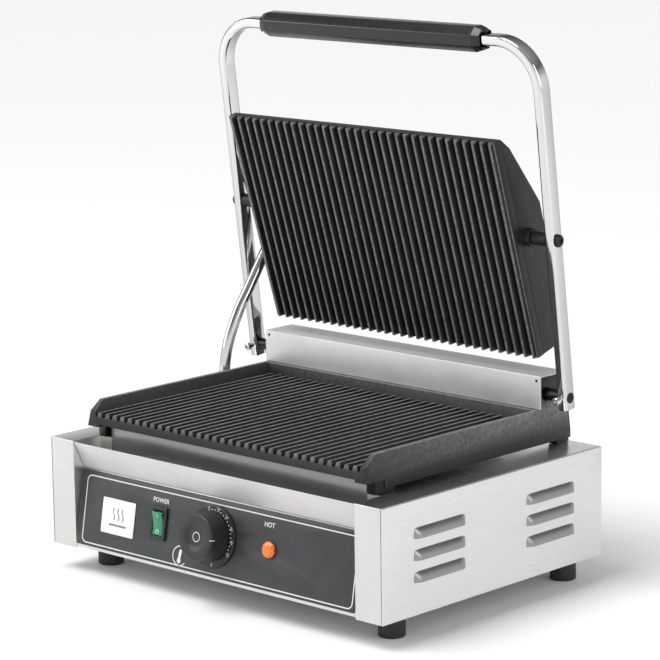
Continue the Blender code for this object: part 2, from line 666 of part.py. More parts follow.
def make_lower_plate():
    """Cast lower plate: open at the front, walls on three sides, hinge ears at the rear."""
    valley = LOWER_CREST - RIB_DEPTH
    last = (RIB_COUNT - 1) / 2 * RIB_PITCH
    wall_foot = last + 0.0055
    outline = [(-LOWER_HALF_BOTTOM, LOWER_SKIRT), (-LOWER_HALF_TOP, WALL_TOP), (-0.1735, WALL_TOP),
               (-wall_foot, valley + 0.0010), (-wall_foot + 0.0012, valley)]
    outline += rib_outline(LOWER_CREST, valley)
    outline += [(wall_foot - 0.0012, valley), (wall_foot, valley + 0.0010), (0.1735, WALL_TOP),
                (LOWER_HALF_TOP, WALL_TOP), (LOWER_HALF_BOTTOM, LOWER_SKIRT), (0.1660, LOWER_SKIRT),
                (0.1650, LOWER_UNDERSIDE), (-0.1650, LOWER_UNDERSIDE), (-0.1660, LOWER_SKIRT)]
    plate = place("lower_plate", prism(outline, "Y", back(LOWER_FRONT), back(SIDE_BACK)), "cast_iron")
    cut(plate, box((-SIDE_INNER, SIDE_INNER), (back(LOWER_BACK), back(SIDE_BACK + 0.01)), (0.13, 0.18)))
    join(plate, box((-0.1770, 0.1770), (back(LOWER_BACK - 0.006), back(LOWER_BACK + 0.0006)),
                    (LOWER_UNDERSIDE + 0.001, WALL_TOP - 0.0004)))
    nose = [(0.010, 0.130), (0.0179, 0.130), (0.0181, LOWER_SKIRT), (0.0204, LOWER_CREST), (0.0320, WALL_TOP),
            (0.0320, 0.175), (0.010, 0.175)]
    cut(plate, prism([(back(depth), z) for depth, z in nose], "X", -0.2, 0.2))
    for side in (-1, 1):
        join_side(plate, side)
    bores = bmesh.new()
    add_cylinder(bores, "X", SHAFT_BORE, -0.19, 0.19, (back(HINGE_DEPTH), HINGE_HEIGHT), ROUND_SIDES)
    for x, depth in plate_bolt_places():
        add_cylinder(bores, "Z", BOLT_RADIUS + GAP, 0.12, 0.142, (x, back(depth)), SMALL_SIDES)
    cut(plate, bores)


def join_side(plate, side):
    """One side's lower skirt, front and rear feet, and the ear that carries the hinge shaft."""
    low = CASE_TOP + GAP
    skirt = [(SIDE_INNER, SIDE_SKIRT), (LOWER_HALF_BOTTOM - 0.0010, SIDE_SKIRT),
             (LOWER_HALF_BOTTOM - 0.0002, SIDE_SKIRT + 0.0012), (LOWER_HALF_BOTTOM - 0.0002, LOWER_SKIRT + 0.0010),
             (SIDE_INNER, LOWER_SKIRT + 0.0020)]
    join(plate, prism([(side * x, z) for x, z in skirt], "Y", back(0.0400), back(SIDE_BACK - 0.0004)))
    for start, end in LEG_SPANS:
        foot = sorted((side * 0.1700, side * 0.1796))
        join(plate, box(foot, (back(start), back(end)), (low, LOWER_SKIRT + 0.004)))
    ear = [(EAR_FRONT, 0.158), (EAR_FRONT, EAR_TOP - 0.002), (EAR_FRONT + 0.002, EAR_TOP),
           (EAR_BACK - 0.008, EAR_TOP), (EAR_BACK, EAR_TOP - 0.008), (EAR_BACK, 0.158)]
    join(plate, prism([(back(depth), z) for depth, z in ear], "X", *sorted((side * EAR_INNER, side * EAR_OUTER))))


def make_plate_bolts():
    """Hexagon bolts from under the deck into the lower plate's legs."""
    under = CASE_TOP - SHEET - GAP
    for x, depth in plate_bolt_places():
        row = "front" if depth < 0.1 else "rear"
        side = "left" if x < 0 else "right"
        shape = bmesh.new()
        add_cylinder(shape, "Z", BOLT_RADIUS, under - 0.002, 0.1412, (x, back(depth)), SMALL_SIDES)
        bolt = place(f"plate_bolt_{row}_{side}", shape, "zinc", smooth=True)
        head = bmesh.new()
        add_cylinder(head, "Z", 0.0056, under - 0.0045, under, (x, back(depth)), 6)
        join(bolt, head)


# ---- heating -------------------------------------------------------------------------------


def serpentine(half_width, low, high, runs, bend_steps=6):
    """Flat serpentine in (x, y): straight runs along X joined by half-circle bends."""
    pitch = (high - low) / (runs - 1)
    radius = pitch / 2
    points = []
    for run in range(runs):
        y = low + run * pitch
        direction = 1 if run % 2 == 0 else -1
        points.append((-direction * half_width, y))
        points.append((direction * half_width, y))
        if run == runs - 1:
            break
        for step in range(1, bend_steps):
            angle = math.pi * step / bend_steps
            points.append((direction * (half_width + radius * math.sin(angle)), y + radius * (1 - math.cos(angle))))
    return points


def make_lower_element():
    """Sheathed heating element under the lower plate; both ends go down through the deck."""
    z = LOWER_UNDERSIDE - GAP - ELEMENT_RADIUS
    loops = serpentine(ELEMENT_HALF, back(ELEMENT_FRONT), back(0.200), ELEMENT_RUNS)
    inner = [(x, y, z) for x, y in loops]
    leg_y = back(ELEMENT_LEG_DEPTH)
    right_side = ELEMENT_HALF + 0.028
    lead_in = [(ELEMENT_LEG_X[1], leg_y, 0.112), (ELEMENT_LEG_X[1], leg_y, z - 0.008),
               (ELEMENT_LEG_X[1] + 0.008, leg_y, z), (right_side - 0.012, leg_y, z),
               (right_side, leg_y - 0.012, z), (right_side, back(ELEMENT_FRONT - 0.012), z),
               (right_side - 0.012, back(ELEMENT_FRONT - 0.024), z),
               (-ELEMENT_HALF - 0.010, back(ELEMENT_FRONT - 0.024), z),
               (-ELEMENT_HALF - 0.0175, back(ELEMENT_FRONT - 0.018), z),
               (-ELEMENT_HALF - 0.0175, back(ELEMENT_FRONT - 0.006), z),
               (-ELEMENT_HALF - 0.010, back(ELEMENT_FRONT), z)]
    lead_out = [(-ELEMENT_HALF - 0.006, back(0.200), z), (-ELEMENT_HALF - 0.014, back(0.208), z),
                (-ELEMENT_HALF - 0.014, leg_y - 0.010, z), (-ELEMENT_HALF - 0.004, leg_y, z),
                (ELEMENT_LEG_X[0] - 0.008, leg_y, z), (ELEMENT_LEG_X[0], leg_y, z - 0.008),
                (ELEMENT_LEG_X[0], leg_y, 0.112)]
    place("lower_element", tube(lead_in + inner[1:-1] + lead_out, ELEMENT_RADIUS, 8, (0.0, 1.0, 0.0)), "steel",
          smooth=True)


def make_lower_clamp():
    """Steel sheet that holds the lower element up against the plate."""
    high = LOWER_UNDERSIDE - 2 * GAP - 2 * ELEMENT_RADIUS
    place("lower_element_clamp", box((-0.115, 0.100), (back(0.060), back(0.190)), (high - 0.0015, high)), "zinc")


def make_sensor():
    """Thermostat bulb under the lower plate and its capillary down to the thermostat."""
    z = LOWER_UNDERSIDE - GAP - 0.0030
    bulb = [(0.0, 0.0), (0.0030, 0.0008), (0.0030, 0.0700), (0.0, 0.0710)]
    frame = Matrix.Translation((CAPILLARY_X - 0.084, back(0.225), z)) @ Matrix.Rotation(math.pi / 2, 4, "Y")
    place("sensor_bulb", turned(bulb, SMALL_SIDES, frame), "copper", smooth=True)
    start_x = CAPILLARY_X - 0.084 + 0.071 + GAP
    entry = panel_matrix() @ Vector((0.010, CONTROL_HEIGHT + 0.012, -0.026 - 3 * GAP))
    route = [(start_x, back(0.225), z), (start_x + 0.006, back(0.225), z), (CAPILLARY_X, back(0.220), z - 0.002),
             (CAPILLARY_X, back(CAPILLARY_DEPTH), 0.130), (CAPILLARY_X, back(CAPILLARY_DEPTH), 0.120),
             (0.100, back(0.150), 0.108), (0.050, back(0.090), 0.098),
             tuple(entry + Vector((0.006, 0.018, 0.0))), tuple(entry)]
    place("capillary_tube", tube(smooth_curve(route, 4), 0.0010, 6, (0.3, 0.2, 0.9)), "copper", smooth=True)


def make_wiring():
    """Supply leads in fibreglass sleeve, from the terminal block to switch, thermostat and element."""
    block = Vector((0.130, back(0.255), 0.0445))
    switch_back = panel_matrix() @ Vector((SWITCH_X, CONTROL_HEIGHT, -0.022 - GAP - 0.0005))
    body_back = panel_matrix() @ Vector((KNOB_X, CONTROL_HEIGHT, -0.026 - GAP - 0.0005))
    lamp_back = panel_matrix() @ Vector((LAMP_X, CONTROL_HEIGHT, -0.018 - GAP - 0.0005))
    top = 0.048
    routes = {
        "lead_to_switch": [(0.115, block.y - 0.011, top - 0.008), (0.112, block.y - 0.04, top - 0.006),
                           (0.0, back(0.130), 0.040), tuple(switch_back + Vector((0, 0.030, -0.008))),
                           tuple(switch_back)],
        "lead_to_thermostat": [(0.125, block.y - 0.011, top - 0.008), (0.125, block.y - 0.05, top - 0.004),
                               (0.060, back(0.120), 0.044), tuple(body_back + Vector((0.004, 0.030, -0.006))),
                               tuple(body_back)],
        "lead_to_lamp": [(0.135, block.y - 0.011, top - 0.008), (0.138, block.y - 0.05, top - 0.008),
                         (0.110, back(0.120), 0.040), tuple(lamp_back + Vector((0.004, 0.030, -0.006))),
                         tuple(lamp_back)],
        "lead_to_element": [(0.115, block.y + 0.011, top - 0.008), (0.105, block.y + 0.022, 0.050),
                            (0.060, back(0.262), 0.090), (ELEMENT_LEG_X[1], back(ELEMENT_LEG_DEPTH), 0.102),
                            (ELEMENT_LEG_X[1], back(ELEMENT_LEG_DEPTH), 0.1105)],
    }
    for name, route in routes.items():
        place(name, tube(smooth_curve(route, 4), 0.0016, 6, (0.9, 0.1, 0.3)), "wire_sleeve", smooth=True)


def make_terminal_block():
    """Ceramic terminal block on the bottom plate."""
    low = FOOT_HEIGHT + 2 * GAP + SHEET
    block = place("terminal_block", box((0.105, 0.160), (back(0.245), back(0.265)), (low, low + 0.022)),
                  "insulation")
    pits = bmesh.new()
    for column in range(4):
        x = 0.1135 + column * 0.0127
        for depth in (0.2500, 0.2600):
            add_cylinder(pits, "Z", 0.0028, low + 0.014, low + 0.03, (x, back(depth)), 8)
    cut(block, pits)


def make_gland():
    """Cord gland through the rear panel, empty, with its lock nut inside."""
    turn = Matrix.Rotation(-math.pi / 2, 4, "X")
    bore = 0.0042
    front = 0.3055 + GAP
    reach = GLAND_REACH - front
    body = [(bore, reach), (bore, -0.012), (GLAND_BODY, -0.012), (GLAND_BODY, 0.0), (0.0125, 0.0),
            (0.0125, 0.0055), (0.0110, 0.0070), (0.0100, reach - 0.002), (0.0085, reach)]
    frame = Matrix.Translation((GLAND_X, back(front), GLAND_Z)) @ turn
    place("cord_gland", turned(body, ROUND_SIDES, frame), "black_plastic", smooth=True)
    nut = bmesh.new()
    add_cylinder(nut, "Y", 0.0135, back(0.2985), back(0.3043 - GAP), (GLAND_X, GLAND_Z), 6)
    piece = place("gland_nut", nut, "black_plastic")
    hole = bmesh.new()
    add_cylinder(hole, "Y", GLAND_BODY + GAP, back(0.29), back(0.31), (GLAND_X, GLAND_Z), ROUND_SIDES)
    cut(piece, hole)


# ---- hinge ---------------------------------------------------------------------------------
def make_hinge():
    """Shaft through the ears, two balance springs on it, and the stainless channel over them."""
    lid = make_empty("lid_axis", (0.0, back(HINGE_DEPTH), HINGE_HEIGHT), LID_LEAN)
    shaft = bmesh.new()
    end = ARM_X + ARM_THICK / 2
    add_cylinder(shaft, "X", SHAFT_RADIUS, -end, end, (0.0, 0.0), ROUND_SIDES)
    place("hinge_shaft", shaft, "steel", lid, smooth=True)
    top = EAR_TOP + GAP + SHEET + 0.0001
    front = COVER_FRONT
    rear = COVER_BACK
    foot = WALL_TOP + GAP
    outline = [(front, foot), (front, top), (rear, top), (rear, 0.1500), (rear - SHEET, 0.1500),
               (rear - SHEET, top - SHEET), (front + SHEET, top - SHEET), (front + SHEET, foot)]
    cover = place("hinge_cover", prism([(back(depth), z) for depth, z in outline], "X", -COVER_HALF, COVER_HALF),
                  "stainless")
    notches = bmesh.new()
    for side in (-1, 1):
        reach = sorted((side * (SIDE_INNER - 2 * GAP), side * 0.2))
        add_box(notches, reach, (back(rear - 0.01), back(rear + 0.01)), (0.14, foot + GAP))
    cut(cover, notches)
    for side, name in ((-1, "left"), (1, "right")):
        place(f"balance_spring_{name}", balance_spring(side), "steel", smooth=True)
    return lid


def balance_spring(side):
    """Torsion spring: close coils round the shaft, one leg down to the casting, one leg up."""
    wire = 0.0011
    mean = SHAFT_RADIUS + 0.0004 + wire
    turns = 9
    per_turn = 10
    pitch = 2 * wire + 0.0004
    middle = Vector((side * 0.140, back(HINGE_DEPTH), HINGE_HEIGHT))
    points = []
    leg = 0.012
    points.append(middle + Vector((0.0, mean, -leg)))
    for step in range(turns * per_turn + 1):
        angle = 2 * math.pi * step / per_turn
        points.append(middle + Vector((-side * pitch * step / per_turn, mean * math.cos(angle),
                                       mean * math.sin(angle))))
    points.append(points[-1] + Vector((-side * 0.0012, 0.0, 0.009)))
    return tube(points, wire, 5, (1.0, 0.0, 0.0))


# ---- lid: handle and upper plate -----------------------------------------------------------
def handle_path():
    """Centre line of the bent bar, in the lid's own frame: up one arm, across, down the other."""
    points = [(-ARM_X, 0.0, -ARM_TAIL)]
    steps = 10
    corner_z = HANDLE_RISE - HANDLE_BEND
    for step in range(steps + 1):
        angle = math.pi - math.pi / 2 * step / steps
        points.append((-ARM_X + HANDLE_BEND + HANDLE_BEND * math.cos(angle), 0.0,
                       corner_z + HANDLE_BEND * math.sin(angle)))
    mirrored = [(-x, y, z) for x, y, z in reversed(points)]
    return points + mirrored


def make_handle(lid):
    """One chromed bar bent into a frame, drilled for the hinge shaft, pins and set screws."""
    section = rounded_rectangle(ARM_THICK, ARM_DEEP, ARM_ROUND, 2)
    frame = place("handle_frame", sweep(handle_path(), section, (0.0, 1.0, 0.0)), "chrome", lid, smooth=True)
    holes = bmesh.new()
    for side in (-1, 1):
        low, high = sorted((side * (ARM_X - 0.01), side * (ARM_X + 0.01)))
        add_cylinder(holes, "X", SHAFT_BORE, low, high, (0.0, 0.0), ROUND_SIDES)
        add_cylinder(holes, "X", PIN_RADIUS + GAP, low, high, (0.0, PIN_RISE), 16)
    cut(frame, holes)
    screw_holes = bmesh.new()
    for side in (-1, 1):
        add_cylinder(screw_holes, "Y", SET_SCREW_RADIUS + GAP, -0.02, -0.004, (side * ARM_X, 0.0), SMALL_SIDES)
    cut(frame, screw_holes)


def make_set_screws(lid):
    """Headed screws that lock the arms to the hinge shaft from the front."""
    tip = SHAFT_RADIUS + GAP
    reach = 0.0165
    profile = [(0.0, tip), (SET_SCREW_RADIUS, tip), (SET_SCREW_RADIUS, reach - 0.0045), (0.0038, reach - 0.0045),
               (0.0038, reach - 0.0008), (0.0030, reach), (0.0, reach)]
    turn = Matrix.Rotation(math.pi / 2, 4, "X")
    for side, name in ((-1, "left"), (1, "right")):
        frame = Matrix.Translation((side * ARM_X, 0.0, 0.0)) @ turn
        place(f"set_screw_{name}", turned(profile, SMALL_SIDES, frame), "chrome", lid, smooth=True)


def make_grip(lid):
    """Faceted eight-sided grip, bored for the bar and tapered at both ends."""
    apothem = GRIP_ACROSS / 2
    corner = apothem / math.cos(math.pi / 8)
    taper = 0.008
    rings = [(-GRIP_LENGTH / 2, corner * 0.80), (-GRIP_LENGTH / 2 + taper, corner),
             (GRIP_LENGTH / 2 - taper, corner), (GRIP_LENGTH / 2, corner * 0.80)]
    shape = turned([(0.0, rings[0][0]), *[(radius, along) for along, radius in rings], (0.0, rings[-1][0])], 8,
                   Matrix.Translation((0.0, 0.0, HANDLE_RISE)) @ Matrix.Rotation(math.pi / 2, 4, "Y"))
    grip = place("handle_grip", shape, "black_plastic", lid)
    half_z = ARM_THICK / 2 + GAP
    half_y = ARM_DEEP / 2 + GAP
    cut(grip, box((-0.2, 0.2), (-half_y, half_y), (HANDLE_RISE - half_z, HANDLE_RISE + half_z)))


def make_pins(lid):
    """Shoulder bolts through the arms into the hood's bosses, each with a spacer tube."""
    outer = ARM_X + ARM_THICK / 2 + GAP
    tip = 0.1590
    profile = [(0.0, tip), (PIN_RADIUS, tip), (PIN_RADIUS, outer), (0.0060, outer), (0.0060, outer + 0.0022),
               (0.0050, outer + 0.0032), (0.0, outer + 0.0032)]
    spacer = [(PIN_RADIUS + GAP, BOSS_OUT + GAP), (0.0064, BOSS_OUT + GAP),
              (0.0064, ARM_X - ARM_THICK / 2 - GAP), (PIN_RADIUS + GAP, ARM_X - ARM_THICK / 2 - GAP)]
    for side, name in ((-1, "left"), (1, "right")):
        frame = Matrix.Translation((0.0, 0.0, PIN_RISE)) @ Matrix.Rotation(side * math.pi / 2, 4, "Y")
        place(f"pivot_bolt_{name}", turned(profile, 16, frame), "steel", lid, smooth=True)
        place(f"pivot_spacer_{name}", turned(spacer, 16, frame), "cast_iron", lid, smooth=True)


def make_upper_plate(plate_axis):
    """Ribbed casting of the lid, modelled as if shut: the face looks down, the pins are at zero."""
    crest = -FACE_BELOW_PIN
    top = crest + PLATE_THICK
    edge = (RIB_COUNT - 1) / 2 * RIB_PITCH + CREST_WIDTH / 2 + 0.0012
    outline = [(-PLATE_HALF_WIDTH, top), (-PLATE_HALF_WIDTH, crest + 0.002), (-edge - 0.0008, crest + 0.002)]
    outline += rib_outline(crest, crest + RIB_DEPTH)
    outline += [(edge + 0.0008, crest + 0.002), (PLATE_HALF_WIDTH, crest + 0.002), (PLATE_HALF_WIDTH, top)]
    place("upper_plate", prism(outline, "Y", PLATE_FRONT, PLATE_REAR), "cast_iron", plate_axis)


def hood_outline(inset):
    """Side outline of the hood in (y, z), pulled in by the wall's thickness for its hollow."""
    crest = -FACE_BELOW_PIN
    low = crest + PLATE_THICK + GAP
    top = crest + HOOD_HEIGHT - inset
    if inset:
        low -= 0.01
    slope_in = inset * 1.08
    return [(PLATE_FRONT + 0.0003 + inset * 1.6, low), (PLATE_FRONT + 0.0003 + inset * 1.6, crest + 0.0120),
            (PLATE_FRONT + 0.0130 + slope_in * 0.55, crest + 0.0217 - slope_in * 0.75),
            (PLATE_FRONT + 0.0770, top), (PLATE_REAR - 0.0150 - inset * 0.4, top),
            (PLATE_REAR - 0.0003 - inset, top - 0.0150 + inset * 0.4), (PLATE_REAR - 0.0003 - inset, low)]


def make_hood(plate_axis):
    """Cast hood over the upper element, hollow below, with a boss for each pin."""
    half = PLATE_HALF_WIDTH - 0.0003
    hood = place("upper_hood", prism(hood_outline(0.0), "X", -half, half), "cast_iron", plate_axis)
    bosses = bmesh.new()
    for side in (-1, 1):
        low, high = sorted((side * (half - 0.002), side * BOSS_OUT))
        add_cylinder(bosses, "X", BOSS_RADIUS, low, high, (0.0, 0.0), 16)
    join(hood, bosses)
    cut(hood, prism(hood_outline(HOOD_WALL), "X", -half + HOOD_WALL, half - HOOD_WALL))
    holes = bmesh.new()
    for side in (-1, 1):
        low, high = sorted((side * 0.155, side * 0.185))
        add_cylinder(holes, "X", PIN_RADIUS + GAP, low, high, (0.0, 0.0), 16)
    add_cylinder(holes, "Z", 0.0055, 0.010, 0.040, (ELBOW_X, 0.0), SMALL_SIDES)
    cut(hood, holes)


def make_upper_element(plate_axis):
    """Sheathed element on the back of the upper plate, and the sheet that presses it down."""
    low = -FACE_BELOW_PIN + PLATE_THICK + GAP
    z = low + ELEMENT_RADIUS
    loops = serpentine(0.105, -0.078, 0.098, 5)
    place("upper_element", tube([(x, y, z) for x, y in loops], ELEMENT_RADIUS, 8, (0.0, 1.0, 0.0)), "steel",
          plate_axis, smooth=True)
    clamp_low = z + ELEMENT_RADIUS + GAP
    place("upper_element_clamp", box((-0.095, 0.095), (-0.045, 0.080), (clamp_low, clamp_low + 0.0015)), "zinc",
          plate_axis)


# ---- conduit between base and lid ----------------------------------------------------------


def conduit_points():
    """Centre line of the bent conduit at the open pose, base first."""
    face = plate_matrix()
    points = [Vector((x, back(depth), z)) for x, depth, z in CONDUIT_ROUTE]
    for x, up, behind in CONDUIT_LID_ROUTE:
        points.append(face @ Vector((x, PLATE_REAR - up, behind - FACE_BELOW_PIN)))
    return smooth_curve(points, 3)


def plate_matrix():
    """World frame of the open upper plate: origin on the pins, Z away from the ribs."""
    lid = Matrix.Translation((0.0, back(HINGE_DEPTH), HINGE_HEIGHT)) @ Matrix.Rotation(LID_LEAN, 4, "X")
    pins = lid @ Vector((0.0, 0.0, PIN_RISE))
    return Matrix.Translation(pins) @ Matrix.Rotation(PLATE_LEAN - math.pi / 2, 4, "X")


def make_conduit(plate_axis):
    """Chromed conduit for the lid's leads, its ferrule on the deck and its elbow on the hood."""
    place("lid_conduit", tube(conduit_points(), CONDUIT_RADIUS, 12, (1.0, 0.0, 0.0)), "chrome", smooth=True)
    low = CASE_TOP + GAP
    inner = CONDUIT_RADIUS + 2 * GAP
    ferrule = [(inner, low), (0.0085, low), (0.0085, low + 0.003), (0.0072, low + 0.004), (0.0072, low + 0.009),
               (inner, low + 0.009)]
    frame = Matrix.Translation((CONDUIT_BASE[0], back(CONDUIT_BASE[1]), 0.0))
    place("conduit_ferrule", turned(ferrule, 16, frame), "chrome", smooth=True)
    top = -FACE_BELOW_PIN + HOOD_HEIGHT + GAP
    axis_z = CONDUIT_LID_ROUTE[-1][2] - FACE_BELOW_PIN
    elbow = place("conduit_elbow", box((-0.127, -0.100), (-0.010, 0.010), (top, axis_z + 0.010)), "zinc", plate_axis)
    hole = bmesh.new()
    add_cylinder(hole, "X", CONDUIT_RADIUS + GAP + 0.0005, -0.13, -0.107, (0.0, axis_z), 16)
    add_cylinder(hole, "Z", 0.0050, top - 0.01, axis_z, (ELBOW_X, 0.0), SMALL_SIDES)
    cut(elbow, hole)


def main():
    clear_scene()
    make_shell()
    make_bottom()
    make_rear_panel()
    make_rear_screws()
    make_feet()
    make_front_panel()
    panel_frame = make_empty("panel_frame", (0.0, back(PANEL_BOTTOM[0]), PANEL_BOTTOM[1]), math.pi / 2 - PANEL_LEAN)
    make_overlay(panel_frame)
    make_badge(panel_frame)
    make_dial(panel_frame)
    make_knob(panel_frame)
    make_thermostat(panel_frame)
    make_switch(panel_frame)
    make_lamp(panel_frame)
    make_tray()
    make_lower_plate()
    make_plate_bolts()
    make_lower_element()
    make_lower_clamp()
    make_sensor()
    make_wiring()
    make_terminal_block()
    make_gland()
    lid = make_hinge()
    make_handle(lid)
    make_set_screws(lid)
    make_grip(lid)
    make_pins(lid)
    plate_axis = make_empty("plate_axis", (0.0, 0.0, PIN_RISE), PLATE_LEAN - math.pi / 2 - LID_LEAN, lid)
    make_upper_plate(plate_axis)
    make_hood(plate_axis)
    make_upper_element(plate_axis)
    make_conduit(plate_axis)


main()
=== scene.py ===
"""Looks of the panini press: meshes, finishes, studio and camera around the packed frame.

The file is laid out as a Blender add-on and is run as a script. Every piece is made in metres in
the frame's own axes: +Z up, the operator at -Y. Depths are measured back from the casing's front.
"""
import json
import math

import bmesh
import bpy
from mathutils import Matrix, Vector
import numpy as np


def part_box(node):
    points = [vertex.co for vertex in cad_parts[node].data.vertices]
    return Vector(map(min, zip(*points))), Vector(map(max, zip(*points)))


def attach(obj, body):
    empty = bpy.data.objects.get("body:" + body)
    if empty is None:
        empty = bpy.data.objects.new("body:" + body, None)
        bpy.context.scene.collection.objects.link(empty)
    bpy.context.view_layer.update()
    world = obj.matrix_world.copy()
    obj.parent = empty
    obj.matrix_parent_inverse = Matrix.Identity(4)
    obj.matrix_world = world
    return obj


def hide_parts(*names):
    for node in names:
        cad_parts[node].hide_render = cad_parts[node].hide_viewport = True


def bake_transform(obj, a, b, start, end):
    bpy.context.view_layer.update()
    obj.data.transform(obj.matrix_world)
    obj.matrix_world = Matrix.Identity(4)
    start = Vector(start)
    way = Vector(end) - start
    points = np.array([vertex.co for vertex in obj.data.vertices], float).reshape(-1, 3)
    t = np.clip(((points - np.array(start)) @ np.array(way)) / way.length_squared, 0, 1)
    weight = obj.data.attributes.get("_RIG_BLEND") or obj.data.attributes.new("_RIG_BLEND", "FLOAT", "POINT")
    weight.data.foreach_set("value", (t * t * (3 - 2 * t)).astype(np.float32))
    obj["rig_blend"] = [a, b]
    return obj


bl_info = {
    "name": "Panini press",
    "version": (1, 0, 0),
    "blender": (4, 5, 0),
    "location": "3D View > Sidebar > Panini press",
    "description": "Builds the visible pieces, finishes and studio of a panini press",
    "category": "Object",
}

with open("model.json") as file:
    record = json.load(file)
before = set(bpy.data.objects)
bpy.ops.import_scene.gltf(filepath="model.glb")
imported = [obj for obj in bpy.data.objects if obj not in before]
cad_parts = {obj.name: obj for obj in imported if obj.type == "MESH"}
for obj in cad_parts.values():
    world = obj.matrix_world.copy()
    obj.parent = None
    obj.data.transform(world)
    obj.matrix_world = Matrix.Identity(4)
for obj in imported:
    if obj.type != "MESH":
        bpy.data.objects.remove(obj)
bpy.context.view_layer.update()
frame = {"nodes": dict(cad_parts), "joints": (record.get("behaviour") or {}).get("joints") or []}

# ---- places read from the frame -----------------------------------------------------------
JOINTS = {joint["name"]: joint for joint in frame["joints"]}
HINGE = Vector(JOINTS["lid_hinge"]["pos_m"])
PINS = Vector(JOINTS["plate_tilt"]["pos_m"])
SHELL_LOW, SHELL_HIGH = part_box("body_shell")
FRONT = SHELL_LOW.y
CASE_TOP = 0.130
CASE_LOW = SHELL_LOW.z
CASE_BACK = SHELL_HIGH.y
CASE_HALF = 0.215
RECESS_HALF = 0.1825
RECESS_DEPTH = 0.035
APRON_LOW = 0.1035
LIP_HALF = 0.166
LIP_TOP = 0.1395
PANEL_LEAN = math.asin(-JOINTS["thermostat_turn"]["axis"][2])
LID_LEAN = math.atan2(HINGE.y - PINS.y, PINS.z - HINGE.z)
PLATE_LEAN = math.radians(17.0)
OVERLAY_TOP = 0.0011

PANEL = Matrix.Translation((0.0, FRONT + 0.0003, 0.0268)) @ Matrix.Rotation(math.pi / 2 - PANEL_LEAN, 4, "X")
LID = Matrix.Translation(HINGE) @ Matrix.Rotation(LID_LEAN, 4, "X")
PLATE = Matrix.Translation(PINS) @ Matrix.Rotation(PLATE_LEAN - math.pi / 2, 4, "X")


def back(depth):
    """World Y of a point that lies depth behind the casing's front face."""
    return FRONT + depth


# ---- settings ------------------------------------------------------------------------------
def length(name, default, description):
    return bpy.props.FloatProperty(name=name, default=default, description=description, unit="LENGTH",
                                   precision=5)


def share(name, default, description):
    return bpy.props.FloatProperty(name=name, default=default, description=description, min=0.0, max=1.0,
                                   subtype="FACTOR")


def tint(name, default, description):
    return bpy.props.FloatVectorProperty(name=name, default=default, description=description, size=3, min=0.0,
                                         max=1.0, subtype="COLOR")


def whole(name, default, description):
    return bpy.props.IntProperty(name=name, default=default, description=description, min=1)


def turn(name, degrees, description):
    return bpy.props.FloatProperty(name=name, default=math.radians(degrees), description=description,
                                   subtype="ANGLE")


class PressStudioSettings(bpy.types.PropertyGroup):
    """Camera, lights and floor."""

    azimuth: turn("Azimuth", 43.377, "Camera's turn from the front towards the right side")
    elevation: turn("Elevation", 11.153, "Camera's height over the horizon")
    roll: turn("Roll", -0.786, "Camera's roll")
    lens: bpy.props.FloatProperty(name="Lens", default=159.81, description="Focal length", unit="CAMERA")
    camera_right: length("Camera right", 1.86662, "Camera's place to the right of the middle")
    camera_front: length("Camera front", 1.80954, "Camera's place in front of the casing")
    camera_height: length("Camera height", 0.77136, "Camera's place over the floor")
    floor_colour: tint("Floor", (0.91, 0.91, 0.91), "Colour of the floor")
    floor_size: length("Floor size", 60.0, "Width of the floor")
    sky_low: share("Sky at the horizon", 0.95, "Brightness of the surroundings at eye level")
    sky_middle: share("Sky half way up", 0.16, "Brightness of the surroundings half way up")
    sky_high: share("Sky overhead", 0.42, "Brightness of the surroundings overhead")
    key: bpy.props.FloatProperty(name="Key", default=2.1, description="Strength of the soft key light")


class PressSteelSettings(bpy.types.PropertyGroup):
    """Stainless casing, tray, panels and hinge cover."""

    colour: tint("Steel", (0.70, 0.69, 0.675), "Colour of the brushed stainless sheet")
    roughness: share("Roughness", 0.30, "Roughness of the brushed sheet")
    fold: length("Fold radius", 0.0013, "Radius of the casing's folds")
    seam: length("Seam", 0.0006, "Gap between a side panel and the casing")
    louvre_length: length("Louvre length", 0.068, "Length of a louvre")
    louvre_height: length("Louvre height", 0.010, "Height of a louvre")
    louvre_proud: length("Louvre depth", 0.0039, "How far a louvre stands out")
    louvre_pitch: length("Louvre pitch", 0.020, "Distance between louvres")
    louvre_rows: whole("Louvre rows", 3, "Louvres above each other")
    rubber: tint("Feet", (0.018, 0.018, 0.019), "Colour of the feet")


class PressIronSettings(bpy.types.PropertyGroup):
    """Both cast plates, the ears and the hood."""

    colour: tint("Iron", (0.0072, 0.0072, 0.0077), "Colour of the seasoned casting")
    # Crest colour: partly rubbed wear, partly painted highlight.
    worn: tint("Worn crests", (0.22, 0.22, 0.225), "Colour where the crests are rubbed")
    roughness: share("Roughness", 0.40, "Roughness of the casting")
    rib_count: whole("Ribs", 33, "Number of ribs on a plate")
    rib_pitch: length("Rib pitch", 0.01035, "Distance between ribs")
    rib_depth: length("Rib depth", 0.005, "Height of a rib over the valley")
    crest: length("Crest", 0.0026, "Width of a rib's crest")
    valley: length("Valley", 0.0030, "Width of the flat between two ribs")
    rounding: length("Rib rounding", 0.0010, "Radius of the ribs' edges")
    cast_edge: length("Cast edge", 0.0013, "Radius of the casting's edges")


